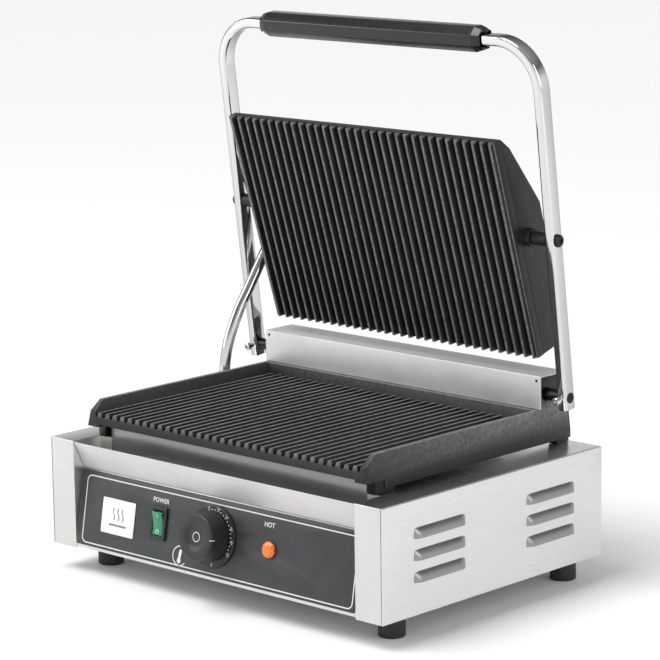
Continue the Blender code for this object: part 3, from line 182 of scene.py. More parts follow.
class PressHandleSettings(bpy.types.PropertyGroup):
    """Bent bar, grip, screws and pins."""

    chrome: tint("Chrome", (0.60, 0.605, 0.615), "Colour of the plated bar")
    chrome_roughness: share("Chrome roughness", 0.07, "Roughness of the plating")
    bar_across: length("Bar across", 0.010, "Bar's thickness across the machine")
    bar_deep: length("Bar depth", 0.015, "Bar's depth, front to back")
    bar_round: length("Bar rounding", 0.0028, "Radius of the bar's edges")
    bend: length("Bend", 0.045, "Radius of the bar's two bends")
    grip_across: length("Grip across", 0.024, "Grip's size over its flats")
    grip_edge: length("Grip edge", 0.0009, "Radius of the grip's edges")
    grip_colour: tint("Grip", (0.007, 0.007, 0.0075), "Colour of the grip")


class PressControlSettings(bpy.types.PropertyGroup):
    """Control overlay, printing, knob, switch and lamp."""

    overlay: tint("Overlay", (0.030, 0.032, 0.034), "Colour of the control overlay")
    print_colour: tint("Printing", (0.72, 0.72, 0.71), "Colour of the printed marks")
    knob: tint("Knob", (0.017, 0.017, 0.018), "Colour of the knob")
    knob_radius: length("Knob radius", 0.0225, "Radius of the knob's skirt")
    dial_radius: length("Dial radius", 0.0295, "Radius of the scale ring")
    lens_radius: length("Lens radius", 0.0077, "Radius of the lamp's lens")
    green: tint("Rocker", (0.004, 0.200, 0.085), "Colour of the rocker")
    amber: tint("Lamp", (0.820, 0.170, 0.020), "Colour of the lamp's lens")
    badge: tint("Badge", (0.86, 0.86, 0.86), "Colour of the badge")
    outline: length("Outline", 0.0011, "Width of the printed outline")
    dot: length("Dot", 0.00062, "Radius of the dial's dots")
    dots: whole("Dots", 16, "Dots on the dial's scale")


SETTINGS = {
    "press_studio": PressStudioSettings,
    "press_steel": PressSteelSettings,
    "press_iron": PressIronSettings,
    "press_handle": PressHandleSettings,
    "press_controls": PressControlSettings,
}


# ---- node trees ------------------------------------------------------------------------------
def add(tree, kind, inputs=None, **settings):
    """One node; inputs maps a socket's name or number to a value or to another node's socket."""
    node = tree.nodes.new(kind)
    for name, value in settings.items():
        setattr(node, name, value)
    for key, value in (inputs or {}).items():
        if isinstance(value, bpy.types.NodeSocket):
            tree.links.new(value, node.inputs[key])
        else:
            node.inputs[key].default_value = value
    return node


SOCKETS = {"count": "NodeSocketInt", "size": "NodeSocketFloat", "vector": "NodeSocketVector",
           "finish": "NodeSocketMaterial"}


def open_tree(name, inputs, takes_geometry=False):
    """A Geometry Nodes tree with named inputs; returns the tree and its input node's outputs."""
    tree = bpy.data.node_groups.new(name, "GeometryNodeTree")
    if takes_geometry:
        tree.interface.new_socket("Geometry", in_out="INPUT", socket_type="NodeSocketGeometry")
    for label, kind in inputs:
        tree.interface.new_socket(label, in_out="INPUT", socket_type=SOCKETS[kind])
    tree.interface.new_socket("Geometry", in_out="OUTPUT", socket_type="NodeSocketGeometry")
    return tree, tree.nodes.new("NodeGroupInput").outputs


def close_tree(tree, geometry, finish):
    """Realize Instances and Set Material, then the tree's output."""
    real = add(tree, "GeometryNodeRealizeInstances", {"Geometry": geometry})
    painted = add(tree, "GeometryNodeSetMaterial", {"Geometry": real.outputs[0], "Material": finish})
    add(tree, "NodeGroupOutput", {"Geometry": painted.outputs[0]})
    return tree


def rib_row_tree():
    """A row of long ribs along Y with a rounded trapezoid section, side by side along X."""
    tree, given = open_tree("Rib row", [("Count", "count"), ("Pitch", "size"), ("Length", "size"),
                                        ("Crest", "size"), ("Root", "size"), ("Height", "size"),
                                        ("Rounding", "size"), ("Finish", "finish")])
    outline = add(tree, "GeometryNodeCurvePrimitiveQuadrilateral",
                  {"Height": given["Height"], "Bottom Width": given["Root"], "Top Width": given["Crest"],
                   "Offset": 0.0}, mode="TRAPEZOID")
    rounded = add(tree, "GeometryNodeFilletCurve", {"Curve": outline.outputs[0], "Radius": given["Rounding"],
                                                    "Limit Radius": True, "Count": 4}, mode="POLY")
    face = add(tree, "GeometryNodeFillCurve", {"Curve": rounded.outputs[0]}, mode="NGONS")
    stretch = add(tree, "ShaderNodeCombineXYZ", {"Z": given["Length"]})
    drawn = add(tree, "GeometryNodeExtrudeMesh", {"Mesh": face.outputs[0], "Offset": stretch.outputs[0],
                                                  "Individual": False}, mode="FACES")
    both = add(tree, "GeometryNodeJoinGeometry")
    tree.links.new(drawn.outputs["Mesh"], both.inputs[0])
    tree.links.new(face.outputs[0], both.inputs[0])
    closed = add(tree, "GeometryNodeMergeByDistance", {"Geometry": both.outputs[0], "Distance": 1e-6})
    laid = add(tree, "GeometryNodeTransform",
               {"Geometry": closed.outputs[0], "Rotation": (math.pi / 2, 0.0, 0.0)})
    offset = add(tree, "ShaderNodeCombineXYZ", {"X": given["Pitch"]})
    row = add(tree, "GeometryNodeMeshLine", {"Count": given["Count"], "Offset": offset.outputs[0]})
    placed = add(tree, "GeometryNodeInstanceOnPoints",
                 {"Points": row.outputs[0], "Instance": laid.outputs[0]})
    return close_tree(tree, placed.outputs[0], given["Finish"])


def repeat_tree():
    """Copies of the given mesh, each moved by a step and turned about Z by an angle from the last."""
    tree, given = open_tree("Repeat", [("Count", "count"), ("Step", "vector"), ("Turn", "size"),
                                       ("Finish", "finish")], takes_geometry=True)
    row = add(tree, "GeometryNodeMeshLine", {"Count": given["Count"], "Offset": given["Step"]})
    angle = add(tree, "ShaderNodeMath", {0: add(tree, "GeometryNodeInputIndex").outputs[0], 1: given["Turn"]},
                operation="MULTIPLY")
    euler = add(tree, "ShaderNodeCombineXYZ", {"Z": angle.outputs[0]})
    rotation = add(tree, "FunctionNodeEulerToRotation", {0: euler.outputs[0]})
    placed = add(tree, "GeometryNodeInstanceOnPoints",
                 {"Points": row.outputs[0], "Instance": given["Geometry"],
                                                        "Rotation": rotation.outputs[0]})
    return close_tree(tree, placed.outputs[0], given["Finish"])


def bar_tree():
    """A rectangular bar with rounded edges along the given edges, which lie in the XY plane."""
    tree, given = open_tree("Bent bar", [("Across", "size"), ("Deep", "size"), ("Rounding", "size"),
                                         ("Bend", "size"), ("Finish", "finish")], takes_geometry=True)
    path = add(tree, "GeometryNodeMeshToCurve", {"Mesh": given["Geometry"]})
    bent = add(tree, "GeometryNodeFilletCurve", {"Curve": path.outputs[0], "Radius": given["Bend"],
                                                 "Limit Radius": True, "Count": 24}, mode="POLY")
    upright = add(tree, "GeometryNodeSetCurveNormal", {"Curve": bent.outputs[0]}, mode="Z_UP")
    section = add(tree, "GeometryNodeCurvePrimitiveQuadrilateral", {"Width": given["Across"],
                                                                   "Height": given["Deep"]}, mode="RECTANGLE")
    rounded = add(tree, "GeometryNodeFilletCurve", {"Curve": section.outputs[0], "Radius": given["Rounding"],
                                                    "Limit Radius": True, "Count": 6}, mode="POLY")
    swept = add(tree, "GeometryNodeCurveToMesh",
                {"Curve": upright.outputs[0], "Profile Curve": rounded.outputs[0],
                                                  "Fill Caps": True})
    return close_tree(tree, swept.outputs[0], given["Finish"])


def tube_tree():
    """A round tube along the given edges."""
    tree, given = open_tree("Tube", [("Radius", "size"), ("Sides", "count"), ("Finish", "finish")],
                            takes_geometry=True)
    path = add(tree, "GeometryNodeMeshToCurve", {"Mesh": given["Geometry"]})
    section = add(tree, "GeometryNodeCurvePrimitiveCircle", {"Resolution": given["Sides"],
                                                             "Radius": given["Radius"]}, mode="RADIUS")
    swept = add(tree, "GeometryNodeCurveToMesh",
                {"Curve": path.outputs[0], "Profile Curve": section.outputs[0],
                                                  "Fill Caps": True})
    return close_tree(tree, swept.outputs[0], given["Finish"])


def coil_tree():
    """A coil of round wire about Z."""
    tree, given = open_tree("Coil", [("Turns", "size"), ("Radius", "size"), ("Height", "size"),
                                     ("Wire", "size"),
                                     ("Finish", "finish")])
    path = add(tree, "GeometryNodeCurveSpiral", {"Resolution": 32, "Rotations": given["Turns"],
                                                 "Start Radius": given["Radius"],
                                                 "End Radius": given["Radius"],
                                                 "Height": given["Height"]})
    section = add(tree, "GeometryNodeCurvePrimitiveCircle", {"Resolution": 12, "Radius": given["Wire"]},
                  mode="RADIUS")
    swept = add(tree, "GeometryNodeCurveToMesh",
                {"Curve": path.outputs[0], "Profile Curve": section.outputs[0],
                                                  "Fill Caps": True})
    return close_tree(tree, swept.outputs[0], given["Finish"])


def grow(tree, values, source=None):
    """Run a tree on a mesh and return the result as a plain, closed bmesh."""
    carrier = bpy.data.objects.new("carrier", source or bpy.data.meshes.new("empty"))
    bpy.context.scene.collection.objects.link(carrier)
    modifier = carrier.modifiers.new("tree", "NODES")
    modifier.node_group = tree
    for socket in tree.interface.items_tree:
        if socket.in_out == "INPUT" and socket.name in values:
            modifier[socket.identifier] = values[socket.name]
    graph = bpy.context.evaluated_depsgraph_get()
    mesh = bpy.data.meshes.new_from_object(carrier.evaluated_get(graph))
    bpy.data.objects.remove(carrier)
    result = bmesh.new()
    result.from_mesh(mesh)
    bpy.data.meshes.remove(mesh)
    bmesh.ops.remove_doubles(result, verts=result.verts, dist=1e-7)
    bmesh.ops.recalc_face_normals(result, faces=result.faces)
    return result


# ---- finishes ------------------------------------------------------------------------------
def new_finish(name, colour, roughness, metallic=0.0, **sockets):
    """A Principled finish; returns the material, its tree and its shader."""
    material = bpy.data.materials.new(name)
    material.use_nodes = True
    tree = material.node_tree
    shader = tree.nodes["Principled BSDF"]
    shader.inputs["Base Color"].default_value = (*colour, 1.0)
    shader.inputs["Roughness"].default_value = roughness
    shader.inputs["Metallic"].default_value = metallic
    for socket, value in sockets.items():
        shader.inputs[socket.replace("_", " ")].default_value = value
    return material, tree, shader


def object_noise(tree, scale, detail=2.0, roughness=0.5, stretch=(1.0, 1.0, 1.0), turned=(0.0, 0.0, 0.0)):
    """Noise on object coordinates; scale counts features per metre, stretch draws them out."""
    place = add(tree, "ShaderNodeTexCoord").outputs["Object"]
    mapped = add(tree, "ShaderNodeMapping", {"Vector": place, "Scale": stretch, "Rotation": turned})
    noise = add(tree, "ShaderNodeTexNoise", {"Vector": mapped.outputs[0], "Scale": scale, "Detail": detail,
                                             "Roughness": roughness})
    return noise.outputs["Fac"]


def spread(tree, value, low, high, from_low=0.3, from_high=0.7):
    """The value, stretched from its usual span to low..high."""
    return add(tree, "ShaderNodeMapRange", {"Value": value, "From Min": from_low, "From Max": from_high,
                                            "To Min": low, "To Max": high}).outputs[0]


def shade_by(tree, shader, value, dark, light):
    """Base colour between dark and light, by value."""
    mixed = add(tree, "ShaderNodeMix", {"Factor": value, 6: (*dark, 1.0), 7: (*light, 1.0)}, data_type="RGBA")
    tree.links.new(mixed.outputs[2], shader.inputs["Base Color"])
    return mixed.outputs[2]


def scaled(colour, factor):
    return tuple(min(1.0, part * factor) for part in colour)


def dent(tree, shader, height, distance, strength=1.0, below=None):
    """Bump of the given height in metres on the shader; returns the normal for a further layer."""
    inputs = {"Height": height, "Distance": distance, "Strength": strength}
    if below is not None:
        inputs["Normal"] = below
    bump = add(tree, "ShaderNodeBump", inputs)
    tree.links.new(bump.outputs[0], shader.inputs["Normal"])
    return bump.outputs[0]


def brushed_finish(name, colour, roughness, along):
    """Brushed stainless: fine scratches drawn out along one axis, with faint cloudy variation."""
    material, tree, shader = new_finish(name, colour, roughness, 1.0, Anisotropic=0.35)
    stretch = [90.0, 90.0, 90.0]
    stretch["XYZ".index(along)] = 1.2
    lines = object_noise(tree, 22.0, 3.0, 0.6, stretch)
    clouds = object_noise(tree, 9.0, 2.0)
    shade_by(tree, shader, spread(tree, lines, 0.0, 1.0), scaled(colour, 0.93), scaled(colour, 1.04))
    rough = add(tree, "ShaderNodeMath",
                {0: spread(tree, lines, -0.035, 0.035), 1: spread(tree, clouds, -0.03, 0.03)},
                operation="ADD")
    total = add(tree, "ShaderNodeMath", {0: rough.outputs[0], 1: roughness}, operation="ADD")
    tree.links.new(total.outputs[0], shader.inputs["Roughness"])
    dent(tree, shader, lines, 0.000010)
    return material


def satin_finish(name, colour):
    """Bead-blasted and lightly brushed sheet: bright and even, with soft clouds."""
    material, tree, shader = new_finish(name, colour, 0.48, 0.62)
    lines = object_noise(tree, 22.0, 3.0, 0.6, (1.2, 90.0, 90.0))
    clouds = object_noise(tree, 14.0, 4.0, 0.6)
    tone = add(tree, "ShaderNodeMath", {0: spread(tree, lines, 0.0, 0.4), 1: spread(tree, clouds, 0.0, 0.6)},
               operation="ADD")
    shade_by(tree, shader, tone.outputs[0], scaled(colour, 0.90), scaled(colour, 1.10))
    tree.links.new(spread(tree, clouds, 0.42, 0.54), shader.inputs["Roughness"])
    dent(tree, shader, lines, 0.000010)
    return material


def iron_finish(name, settings, rubbed_and_highlit=False):
    """Seasoned cast iron: sand-cast grain, pits and, on the ribs, crests rubbed brighter."""
    material, tree, shader = new_finish(name, settings.colour, settings.roughness)
    shader.inputs["Specular IOR Level"].default_value = 0.34
    grain = object_noise(tree, 1150.0, 3.0, 0.6)
    lumps = object_noise(tree, 260.0, 3.0, 0.55)
    patches = object_noise(tree, 26.0, 3.0, 0.6)
    tone = add(tree, "ShaderNodeMath",
               {0: spread(tree, grain, 0.0, 0.55), 1: spread(tree, patches, 0.0, 0.45)},
               operation="ADD")
    base = shade_by(tree, shader, tone.outputs[0], scaled(settings.colour, 0.40),
                    scaled(settings.colour, 2.6))
    # Crests lighter: partly rubbed wear, partly a painted highlight where they would catch the light.
    if rubbed_and_highlit:
        wear_and_highlight = add(tree, "ShaderNodeAttribute", attribute_name="rubbed_and_highlit")
        amount = add(tree, "ShaderNodeMath", {0: wear_and_highlight.outputs["Fac"], 1: spread(tree, lumps, 0.35, 1.0)},
                     operation="MULTIPLY")
        mixed = add(tree, "ShaderNodeMix", {"Factor": amount.outputs[0], 6: base, 7: (*settings.worn, 1.0)},
                    data_type="RGBA")
        tree.links.new(mixed.outputs[2], shader.inputs["Base Color"])
    tree.links.new(spread(tree, lumps, settings.roughness - 0.09, settings.roughness + 0.10),
                   shader.inputs["Roughness"])
    coarse = dent(tree, shader, lumps, 0.00030, 0.8)
    dent(tree, shader, grain, 0.00018, 0.9, coarse)
    return material


def chrome_finish(name, colour, roughness):
    """Bright plate with a faint waviness and fine wiping marks."""
    material, tree, shader = new_finish(name, colour, roughness, 1.0)
    waves = object_noise(tree, 55.0, 2.0)
    marks = object_noise(tree, 900.0, 2.0)
    # Painted reflection: base colour runs from bright where the surface faces the view to dark at glancing
    # angles, standing in for the dark streaks along the bars.
    painted_reflection_facing = add(tree, "ShaderNodeLayerWeight", {"Blend": 0.5}).outputs["Facing"]
    shade_by(tree, shader, spread(tree, painted_reflection_facing, 0.0, 1.0, 0.32, 0.80), scaled(colour, 1.12),
             scaled(colour, 0.16))
    tree.links.new(spread(tree, marks, roughness * 0.6, roughness * 1.8), shader.inputs["Roughness"])
    dent(tree, shader, waves, 0.00006)
    return material


def plain_steel_finish(name, colour, roughness):
    """Turned or plated steel with fine tool marks."""
    material, tree, shader = new_finish(name, colour, roughness, 1.0)
    marks = object_noise(tree, 700.0, 3.0)
    clouds = object_noise(tree, 45.0, 2.0)
    shade_by(tree, shader, spread(tree, clouds, 0.0, 1.0), scaled(colour, 0.85), scaled(colour, 1.05))
    tree.links.new(spread(tree, marks, roughness - 0.06, roughness + 0.08), shader.inputs["Roughness"])
    dent(tree, shader, marks, 0.00002)
    return material


def moulded_finish(name, colour, roughness, grain=0.00003, grain_scale=1500.0):
    """Moulded plastic or rubber with a fine mould texture."""
    material, tree, shader = new_finish(name, colour, roughness)
    texture = object_noise(tree, grain_scale, 2.0)
    clouds = object_noise(tree, 60.0, 2.0)
    shade_by(tree, shader, spread(tree, clouds, 0.0, 1.0), scaled(colour, 0.85), scaled(colour, 1.15))
    tree.links.new(spread(tree, texture, roughness - 0.04, roughness + 0.05), shader.inputs["Roughness"])
    dent(tree, shader, texture, grain)
    return material


def lens_finish(name, colour, pattern_turn):
    """Translucent coloured plastic with a fine diamond pattern pressed into it."""
    material, tree, shader = new_finish(name, colour, 0.22, Coat_Weight=0.4)
    shader.inputs["Subsurface Weight"].default_value = 0.25
    shader.inputs["Subsurface Scale"].default_value = 0.003
    shader.inputs["Subsurface Radius"].default_value = (1.0, 0.5, 0.3)
    place = add(tree, "ShaderNodeTexCoord").outputs["Object"]
    bands = []
    for side in (-1, 1):
        mapped = add(tree, "ShaderNodeMapping",
                     {"Vector": place, "Rotation": (0.0, side * pattern_turn, 0.0)})
        wave = add(tree, "ShaderNodeTexWave",
                   {"Vector": mapped.outputs[0], "Scale": 105.0, "Distortion": 0.0})
        bands.append(wave.outputs["Fac"])
    ridges = add(tree, "ShaderNodeMath", {0: bands[0], 1: bands[1]}, operation="MAXIMUM")
    shade_by(tree, shader, spread(tree, ridges.outputs[0], 0.0, 1.0, 0.3, 1.0), scaled(colour, 0.72),
             scaled(colour, 1.35))
    dent(tree, shader, ridges.outputs[0], 0.0003, 0.6)
    return material


def printed_finish(name, colour):
    """Screen-printed ink with slightly uneven cover."""
    material, tree, shader = new_finish(name, colour, 0.45)
    cover = object_noise(tree, 1600.0, 2.0)
    shade_by(tree, shader, spread(tree, cover, 0.0, 1.0), scaled(colour, 0.90), scaled(colour, 1.03))
    return material


def woven_finish(name, colour):
    """Woven glass sleeve on the leads."""
    material, tree, shader = new_finish(name, colour, 0.7)
    weave = object_noise(tree, 1400.0, 1.0)
    shade_by(tree, shader, spread(tree, weave, 0.0, 1.0), scaled(colour, 0.6), scaled(colour, 1.3))
    dent(tree, shader, weave, 0.00015)
    return material


FINISHES = {}


def make_finishes(scene):
    """All finishes of the press, by the name the pieces use."""
    steel = scene.press_steel
    iron = scene.press_iron
    handle = scene.press_handle
    controls = scene.press_controls
    FINISHES.update({
        "steel_across": brushed_finish("brushed_steel_across", steel.colour, steel.roughness, "X"),
        "steel_back": brushed_finish("brushed_steel_back", steel.colour, steel.roughness, "Y"),
        # Darker copy of the brushed steel: painted shade, used on the louvre hoods and the lip at the back of
        # the recess.
        "steel_dim": brushed_finish("brushed_steel_painted_shade", scaled(steel.colour, 0.42), steel.roughness, "Y"),
        "satin": satin_finish("satin_steel", steel.colour),
        "black_oxide": plain_steel_finish("black_oxide", (0.035, 0.035, 0.037), 0.30),
        "zinc": plain_steel_finish("zinc_plate", (0.52, 0.52, 0.50), 0.42),
        "steel": plain_steel_finish("machined_steel", (0.58, 0.58, 0.58), 0.30),
        "copper": plain_steel_finish("bare_copper", (0.70, 0.36, 0.22), 0.35),
        "iron": iron_finish("cast_iron", iron),
        "ribs": iron_finish("cast_iron_ribs", iron, rubbed_and_highlit=True),
        "chrome": chrome_finish("chrome_plate", handle.chrome, handle.chrome_roughness),
        "grip": moulded_finish("grip_plastic", handle.grip_colour, 0.24, 0.00001, 500.0),
        "black": moulded_finish("black_plastic", (0.013, 0.013, 0.014), 0.33),
        "knob": moulded_finish("knob_plastic", controls.knob, 0.42, 0.00004, 1100.0),
        "overlay": moulded_finish("control_overlay", controls.overlay, 0.38, 0.000012, 2600.0),
        "rubber": moulded_finish("foot_rubber", steel.rubber, 0.62, 0.00005, 900.0),
        "badge": moulded_finish("badge_face", controls.badge, 0.35, 0.000006, 900.0),
        "print": printed_finish("white_print", controls.print_colour),
        "grey_print": printed_finish("grey_print", (0.20, 0.20, 0.21)),
        "green": lens_finish("green_rocker", controls.green, math.radians(38.0)),
        "amber": lens_finish("amber_lens", controls.amber, math.radians(38.0)),
        "ceramic": moulded_finish("terminal_ceramic", (0.68, 0.65, 0.58), 0.6, 0.00005, 700.0),
        "sleeve": woven_finish("lead_sleeve", (0.40, 0.08, 0.05)),
    })


# ---- mesh helpers ---------------------------------------------------------------------------
def add_prism(shape, outline, axis, low, high):
    """A closed prism: the outline lies across the axis, in the order of the two other axes."""
    ends = []
    for level in (low, high):
        ring = []
        for first, second in outline:
            corner = [first, second]
            corner.insert("XYZ".index(axis), level)
            ring.append(shape.verts.new(corner))
        ends.append(ring)
    shape.faces.new(ends[0])
    shape.faces.new(list(reversed(ends[1])))
    for index, corner in enumerate(ends[0]):
        following = (index + 1) % len(outline)
        shape.faces.new((corner, ends[1][index], ends[1][following], ends[0][following]))
    bmesh.ops.recalc_face_normals(shape, faces=shape.faces)
    return shape


def prism(outline, axis, low, high):
    return add_prism(bmesh.new(), outline, axis, low, high)


def box(x_range, y_range, z_range):
    outline = [(x_range[0], y_range[0]), (x_range[1], y_range[0]), (x_range[1], y_range[1]),
               (x_range[0], y_range[1])]
    return prism(outline, "Z", *z_range)


def arc(centre, radius, start, end, steps):
    """Points of an arc, angles in degrees."""
    points = []
    for step in range(steps + 1):
        angle = math.radians(start + (end - start) * step / steps)
        points.append((centre[0] + radius * math.cos(angle), centre[1] + radius * math.sin(angle)))
    return points


def rounded_rectangle(width, height, radius, centre=(0.0, 0.0), steps=8):
    points = []
    for corner, (side_x, side_y) in enumerate(((1, 1), (-1, 1), (-1, -1), (1, -1))):
        middle = (centre[0] + side_x * (width / 2 - radius), centre[1] + side_y * (height / 2 - radius))
        points += arc(middle, radius, 90 * corner, 90 * corner + 90, steps)
    return points


def turned(profile, sides=64):
    """A solid turned about Z from an open or closed (radius, height) profile that ends on the axis."""
    shape = bmesh.new()
    rings = []
    for radius, height in profile:
        if radius < 1e-9:
            rings.append([shape.verts.new((0.0, 0.0, height))])
            continue
        ring = []
        for side in range(sides):
            angle = 2 * math.pi * side / sides
            ring.append(shape.verts.new((radius * math.cos(angle), radius * math.sin(angle), height)))
        rings.append(ring)
    pairs = list(zip(rings, rings[1:]))
    if profile[0][0] > 1e-9:
        pairs.append((rings[-1], rings[0]))
    for low, high in pairs:
        for side in range(sides):
            following = (side + 1) % sides
            corners = [low[side % len(low)], low[following % len(low)], high[following % len(high)],
                       high[side % len(high)]]
            unique = [corner for index, corner in enumerate(corners) if corner not in corners[:index]]
            if len(unique) > 2:
                shape.faces.new(unique)
    bmesh.ops.recalc_face_normals(shape, faces=shape.faces)
    return shape


def path_mesh(points):
    """A mesh of one row of edges, for a tree that sweeps along it."""
    mesh = bpy.data.meshes.new("path")
    mesh.from_pydata([tuple(point) for point in points], [(i, i + 1) for i in range(len(points) - 1)], [])
    return mesh


def smooth_curve(controls, steps):
    """Points of a Catmull-Rom curve through the control points."""
    knots = [Vector(point) for point in controls]
    padded = [knots[0] * 2 - knots[1], *knots, knots[-1] * 2 - knots[-2]]
    points = []
    for index in range(1, len(padded) - 2):
        a, b, c, d = padded[index - 1:index + 3]
        for step in range(steps):
            t = step / steps
            points.append(0.5 * (2 * b + (c - a) * t + (2 * a - 5 * b + 4 * c - d) * t * t
                                 + (3 * b - a - 3 * c + d) * t * t * t))
    points.append(knots[-1])
    return points


def as_mesh(shape, name="shape"):
    mesh = bpy.data.meshes.new(name)
    shape.to_mesh(mesh)
    shape.free()
    return mesh


def combine(solid, tools, operation):
    """Exact union or difference of closed bmeshes, returned as a new bmesh."""
    target = bpy.data.objects.new("solid", as_mesh(solid))
    bpy.context.scene.collection.objects.link(target)
    helpers = []
    for tool in tools:
        helper = bpy.data.objects.new("tool", as_mesh(tool))
        bpy.context.scene.collection.objects.link(helper)
        modifier = target.modifiers.new("cut", "BOOLEAN")
        modifier.operation = operation
        modifier.solver = "EXACT"
        modifier.object = helper
        helpers.append(helper)
    graph = bpy.context.evaluated_depsgraph_get()
    mesh = bpy.data.meshes.new_from_object(target.evaluated_get(graph))
    for item in [target, *helpers]:
        bpy.data.objects.remove(item)
    result = bmesh.new()
    result.from_mesh(mesh)
    bpy.data.meshes.remove(mesh)
    return result


def soften(shape, radius, segments=3, angle=30.0, only=None):
    """Flat faces merged, then sharp edges rounded: all of them, or those that only() picks."""
    bmesh.ops.remove_doubles(shape, verts=shape.verts, dist=2e-6)
    bmesh.ops.dissolve_limit(shape, angle_limit=math.radians(1.0), verts=shape.verts, edges=shape.edges)
    sharp = [edge for edge in shape.edges if len(edge.link_faces) == 2
             and edge.calc_face_angle(0.0) > math.radians(angle) and (only is None or only(edge))]
    bmesh.ops.bevel(shape, geom=sharp, offset=radius, segments=segments, profile=0.5, affect="EDGES",
                    clamp_overlap=True)
    return shape


def node_copy(node):
    """A merged copy of a CAD node's mesh, where it lies."""
    shape = bmesh.new()
    shape.from_mesh(frame["nodes"][node].data)
    bmesh.ops.remove_doubles(shape, verts=shape.verts, dist=2e-6)
    return shape


def moved(shape, matrix):
    shape.transform(matrix)
    if matrix.determinant() < 0:
        bmesh.ops.reverse_faces(shape, faces=shape.faces)
    return shape


def merged(*shapes):
    """Several bmeshes in one."""
    whole_shape = shapes[0]
    for shape in shapes[1:]:
        mesh = as_mesh(shape)
        whole_shape.from_mesh(mesh)
        bpy.data.meshes.remove(mesh)
    return whole_shape


def piece(name, shape, finish, body, nodes=(), sharp=32.0, blend=None):
    """Finish one visible piece: object, material, smooth shading, body, slot and CAD nodes."""
    mesh = as_mesh(shape, name)
    finishes = (finish,) if isinstance(finish, str) else finish
    mesh.materials.clear()
    for key in finishes:
        mesh.materials.append(FINISHES[key])
    mesh.shade_smooth()
    mesh.set_sharp_from_angle(angle=math.radians(sharp))
    item = bpy.data.objects.new(name, mesh)
    bpy.context.scene.collection.objects.link(item)
    if blend:
        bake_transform(item, *blend)
    else:
        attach(item, body)
    if nodes:
        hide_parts(*nodes)
    return item


def paint_node(node, finish):
    """A procedural finish on a CAD node that stays as it is."""
    mesh = frame["nodes"][node].data
    mesh.materials.clear()
    mesh.materials.append(FINISHES[finish])


# ---- casing ----------------------------------------------------------------------------------
SHEET = 0.0012


def lies_on(edge, tests):
    """How many of the given planes hold both ends of the edge."""
    return sum(all(test(end.co) for end in edge.verts) for test in tests)


def near(value, target):
    return abs(value - target) < 2e-5


def build_shell(scene):
    """Folded casing: deck, front cheeks, recess walls and rear flanges, with rounded folds."""
    settings = scene.press_steel
    half = CASE_HALF - SHEET - settings.seam
    inner = half - SHEET
    solid = box((-half, half), (back(0.0), CASE_BACK), (CASE_LOW, CASE_TOP))
    solid = combine(solid, [box((-inner, inner), (back(SHEET), CASE_BACK + 0.01), (0.0, CASE_TOP - SHEET))],
                    "DIFFERENCE")
    spare = SHEET / 2
    walls = [box((-RECESS_HALF - spare, RECESS_HALF + spare),
                 (back(RECESS_DEPTH - spare), back(RECESS_DEPTH + SHEET)), (APRON_LOW, CASE_TOP - spare))]
    for side in (-1, 1):
        wall = sorted((side * (RECESS_HALF - spare), side * (RECESS_HALF + SHEET)))
        walls.append(box(wall, (back(spare), back(RECESS_DEPTH + 0.004)), (0.0285, CASE_TOP - spare)))
        flange = sorted((side * (inner + spare), side * (inner - 0.012)))
        walls.append(box(flange, (back(0.3028), back(0.304)), (0.030, 0.120)))
    solid = combine(solid, walls, "UNION")
    solid = combine(solid, [box((-RECESS_HALF, RECESS_HALF), (back(-0.01), back(RECESS_DEPTH)), (0.0, 0.2))],
                    "DIFFERENCE")
    planes = [lambda p: near(abs(p.x), half), lambda p: near(p.y, back(0.0)), lambda p: near(p.z, CASE_TOP),
              lambda p: near(abs(p.x), RECESS_HALF), lambda p: near(p.y, back(RECESS_DEPTH))]
    soften(solid, settings.fold, 4, only=lambda edge: lies_on(edge, planes) > 1)
    piece("casing", solid, "steel_across", "base", ["body_shell"])
    # Lip at the back of the recess in the darker steel: painted shade.
    lip = box((-LIP_HALF, LIP_HALF), (back(RECESS_DEPTH - 0.0004), back(RECESS_DEPTH + 0.0006)),
              (APRON_LOW, LIP_TOP))
    piece("deck_lip", soften(lip, 0.0002, 2), "steel_dim", "base", ["body_shell"])


def louvre_hood(settings):
    """One pressed louvre: flush along its top and ends, standing out at its open lower edge."""
    along_steps, down_steps = 40, 12
    half = settings.louvre_length / 2
    margin = 0.0012
    sunk = -0.0004
    shape = bmesh.new()
    rows = []
    for down in range(down_steps + 1):
        row = []
        drop = -margin + (settings.louvre_height + margin) * down / down_steps
        rise = max(0.0, drop / settings.louvre_height)
        for step in range(along_steps + 1):
            along = -(half + margin) + 2 * (half + margin) * step / along_steps
            end = max(0.0, abs(along) - (half - 0.009)) / 0.009
            dome = math.sqrt(max(0.0, 1.0 - min(1.0, end) ** 2))
            lift = math.sin(min(1.0, rise * 1.05) * math.pi / 2) ** 0.85 if rise > 0 else 0.0
            proud = sunk + (settings.louvre_proud - sunk) * lift * dome
            row.append(shape.verts.new((proud, along, -drop)))
        rows.append(row)
    for upper, lower in zip(rows, rows[1:]):
        for step in range(along_steps):
            shape.faces.new((upper[step], lower[step], lower[step + 1], upper[step + 1]))
    bmesh.ops.recalc_face_normals(shape, faces=shape.faces)
    if sum(face.normal.x for face in shape.faces) < 0:
        bmesh.ops.reverse_faces(shape, faces=shape.faces)
    bmesh.ops.solidify(shape, geom=shape.faces[:], thickness=0.0008)
    return shape


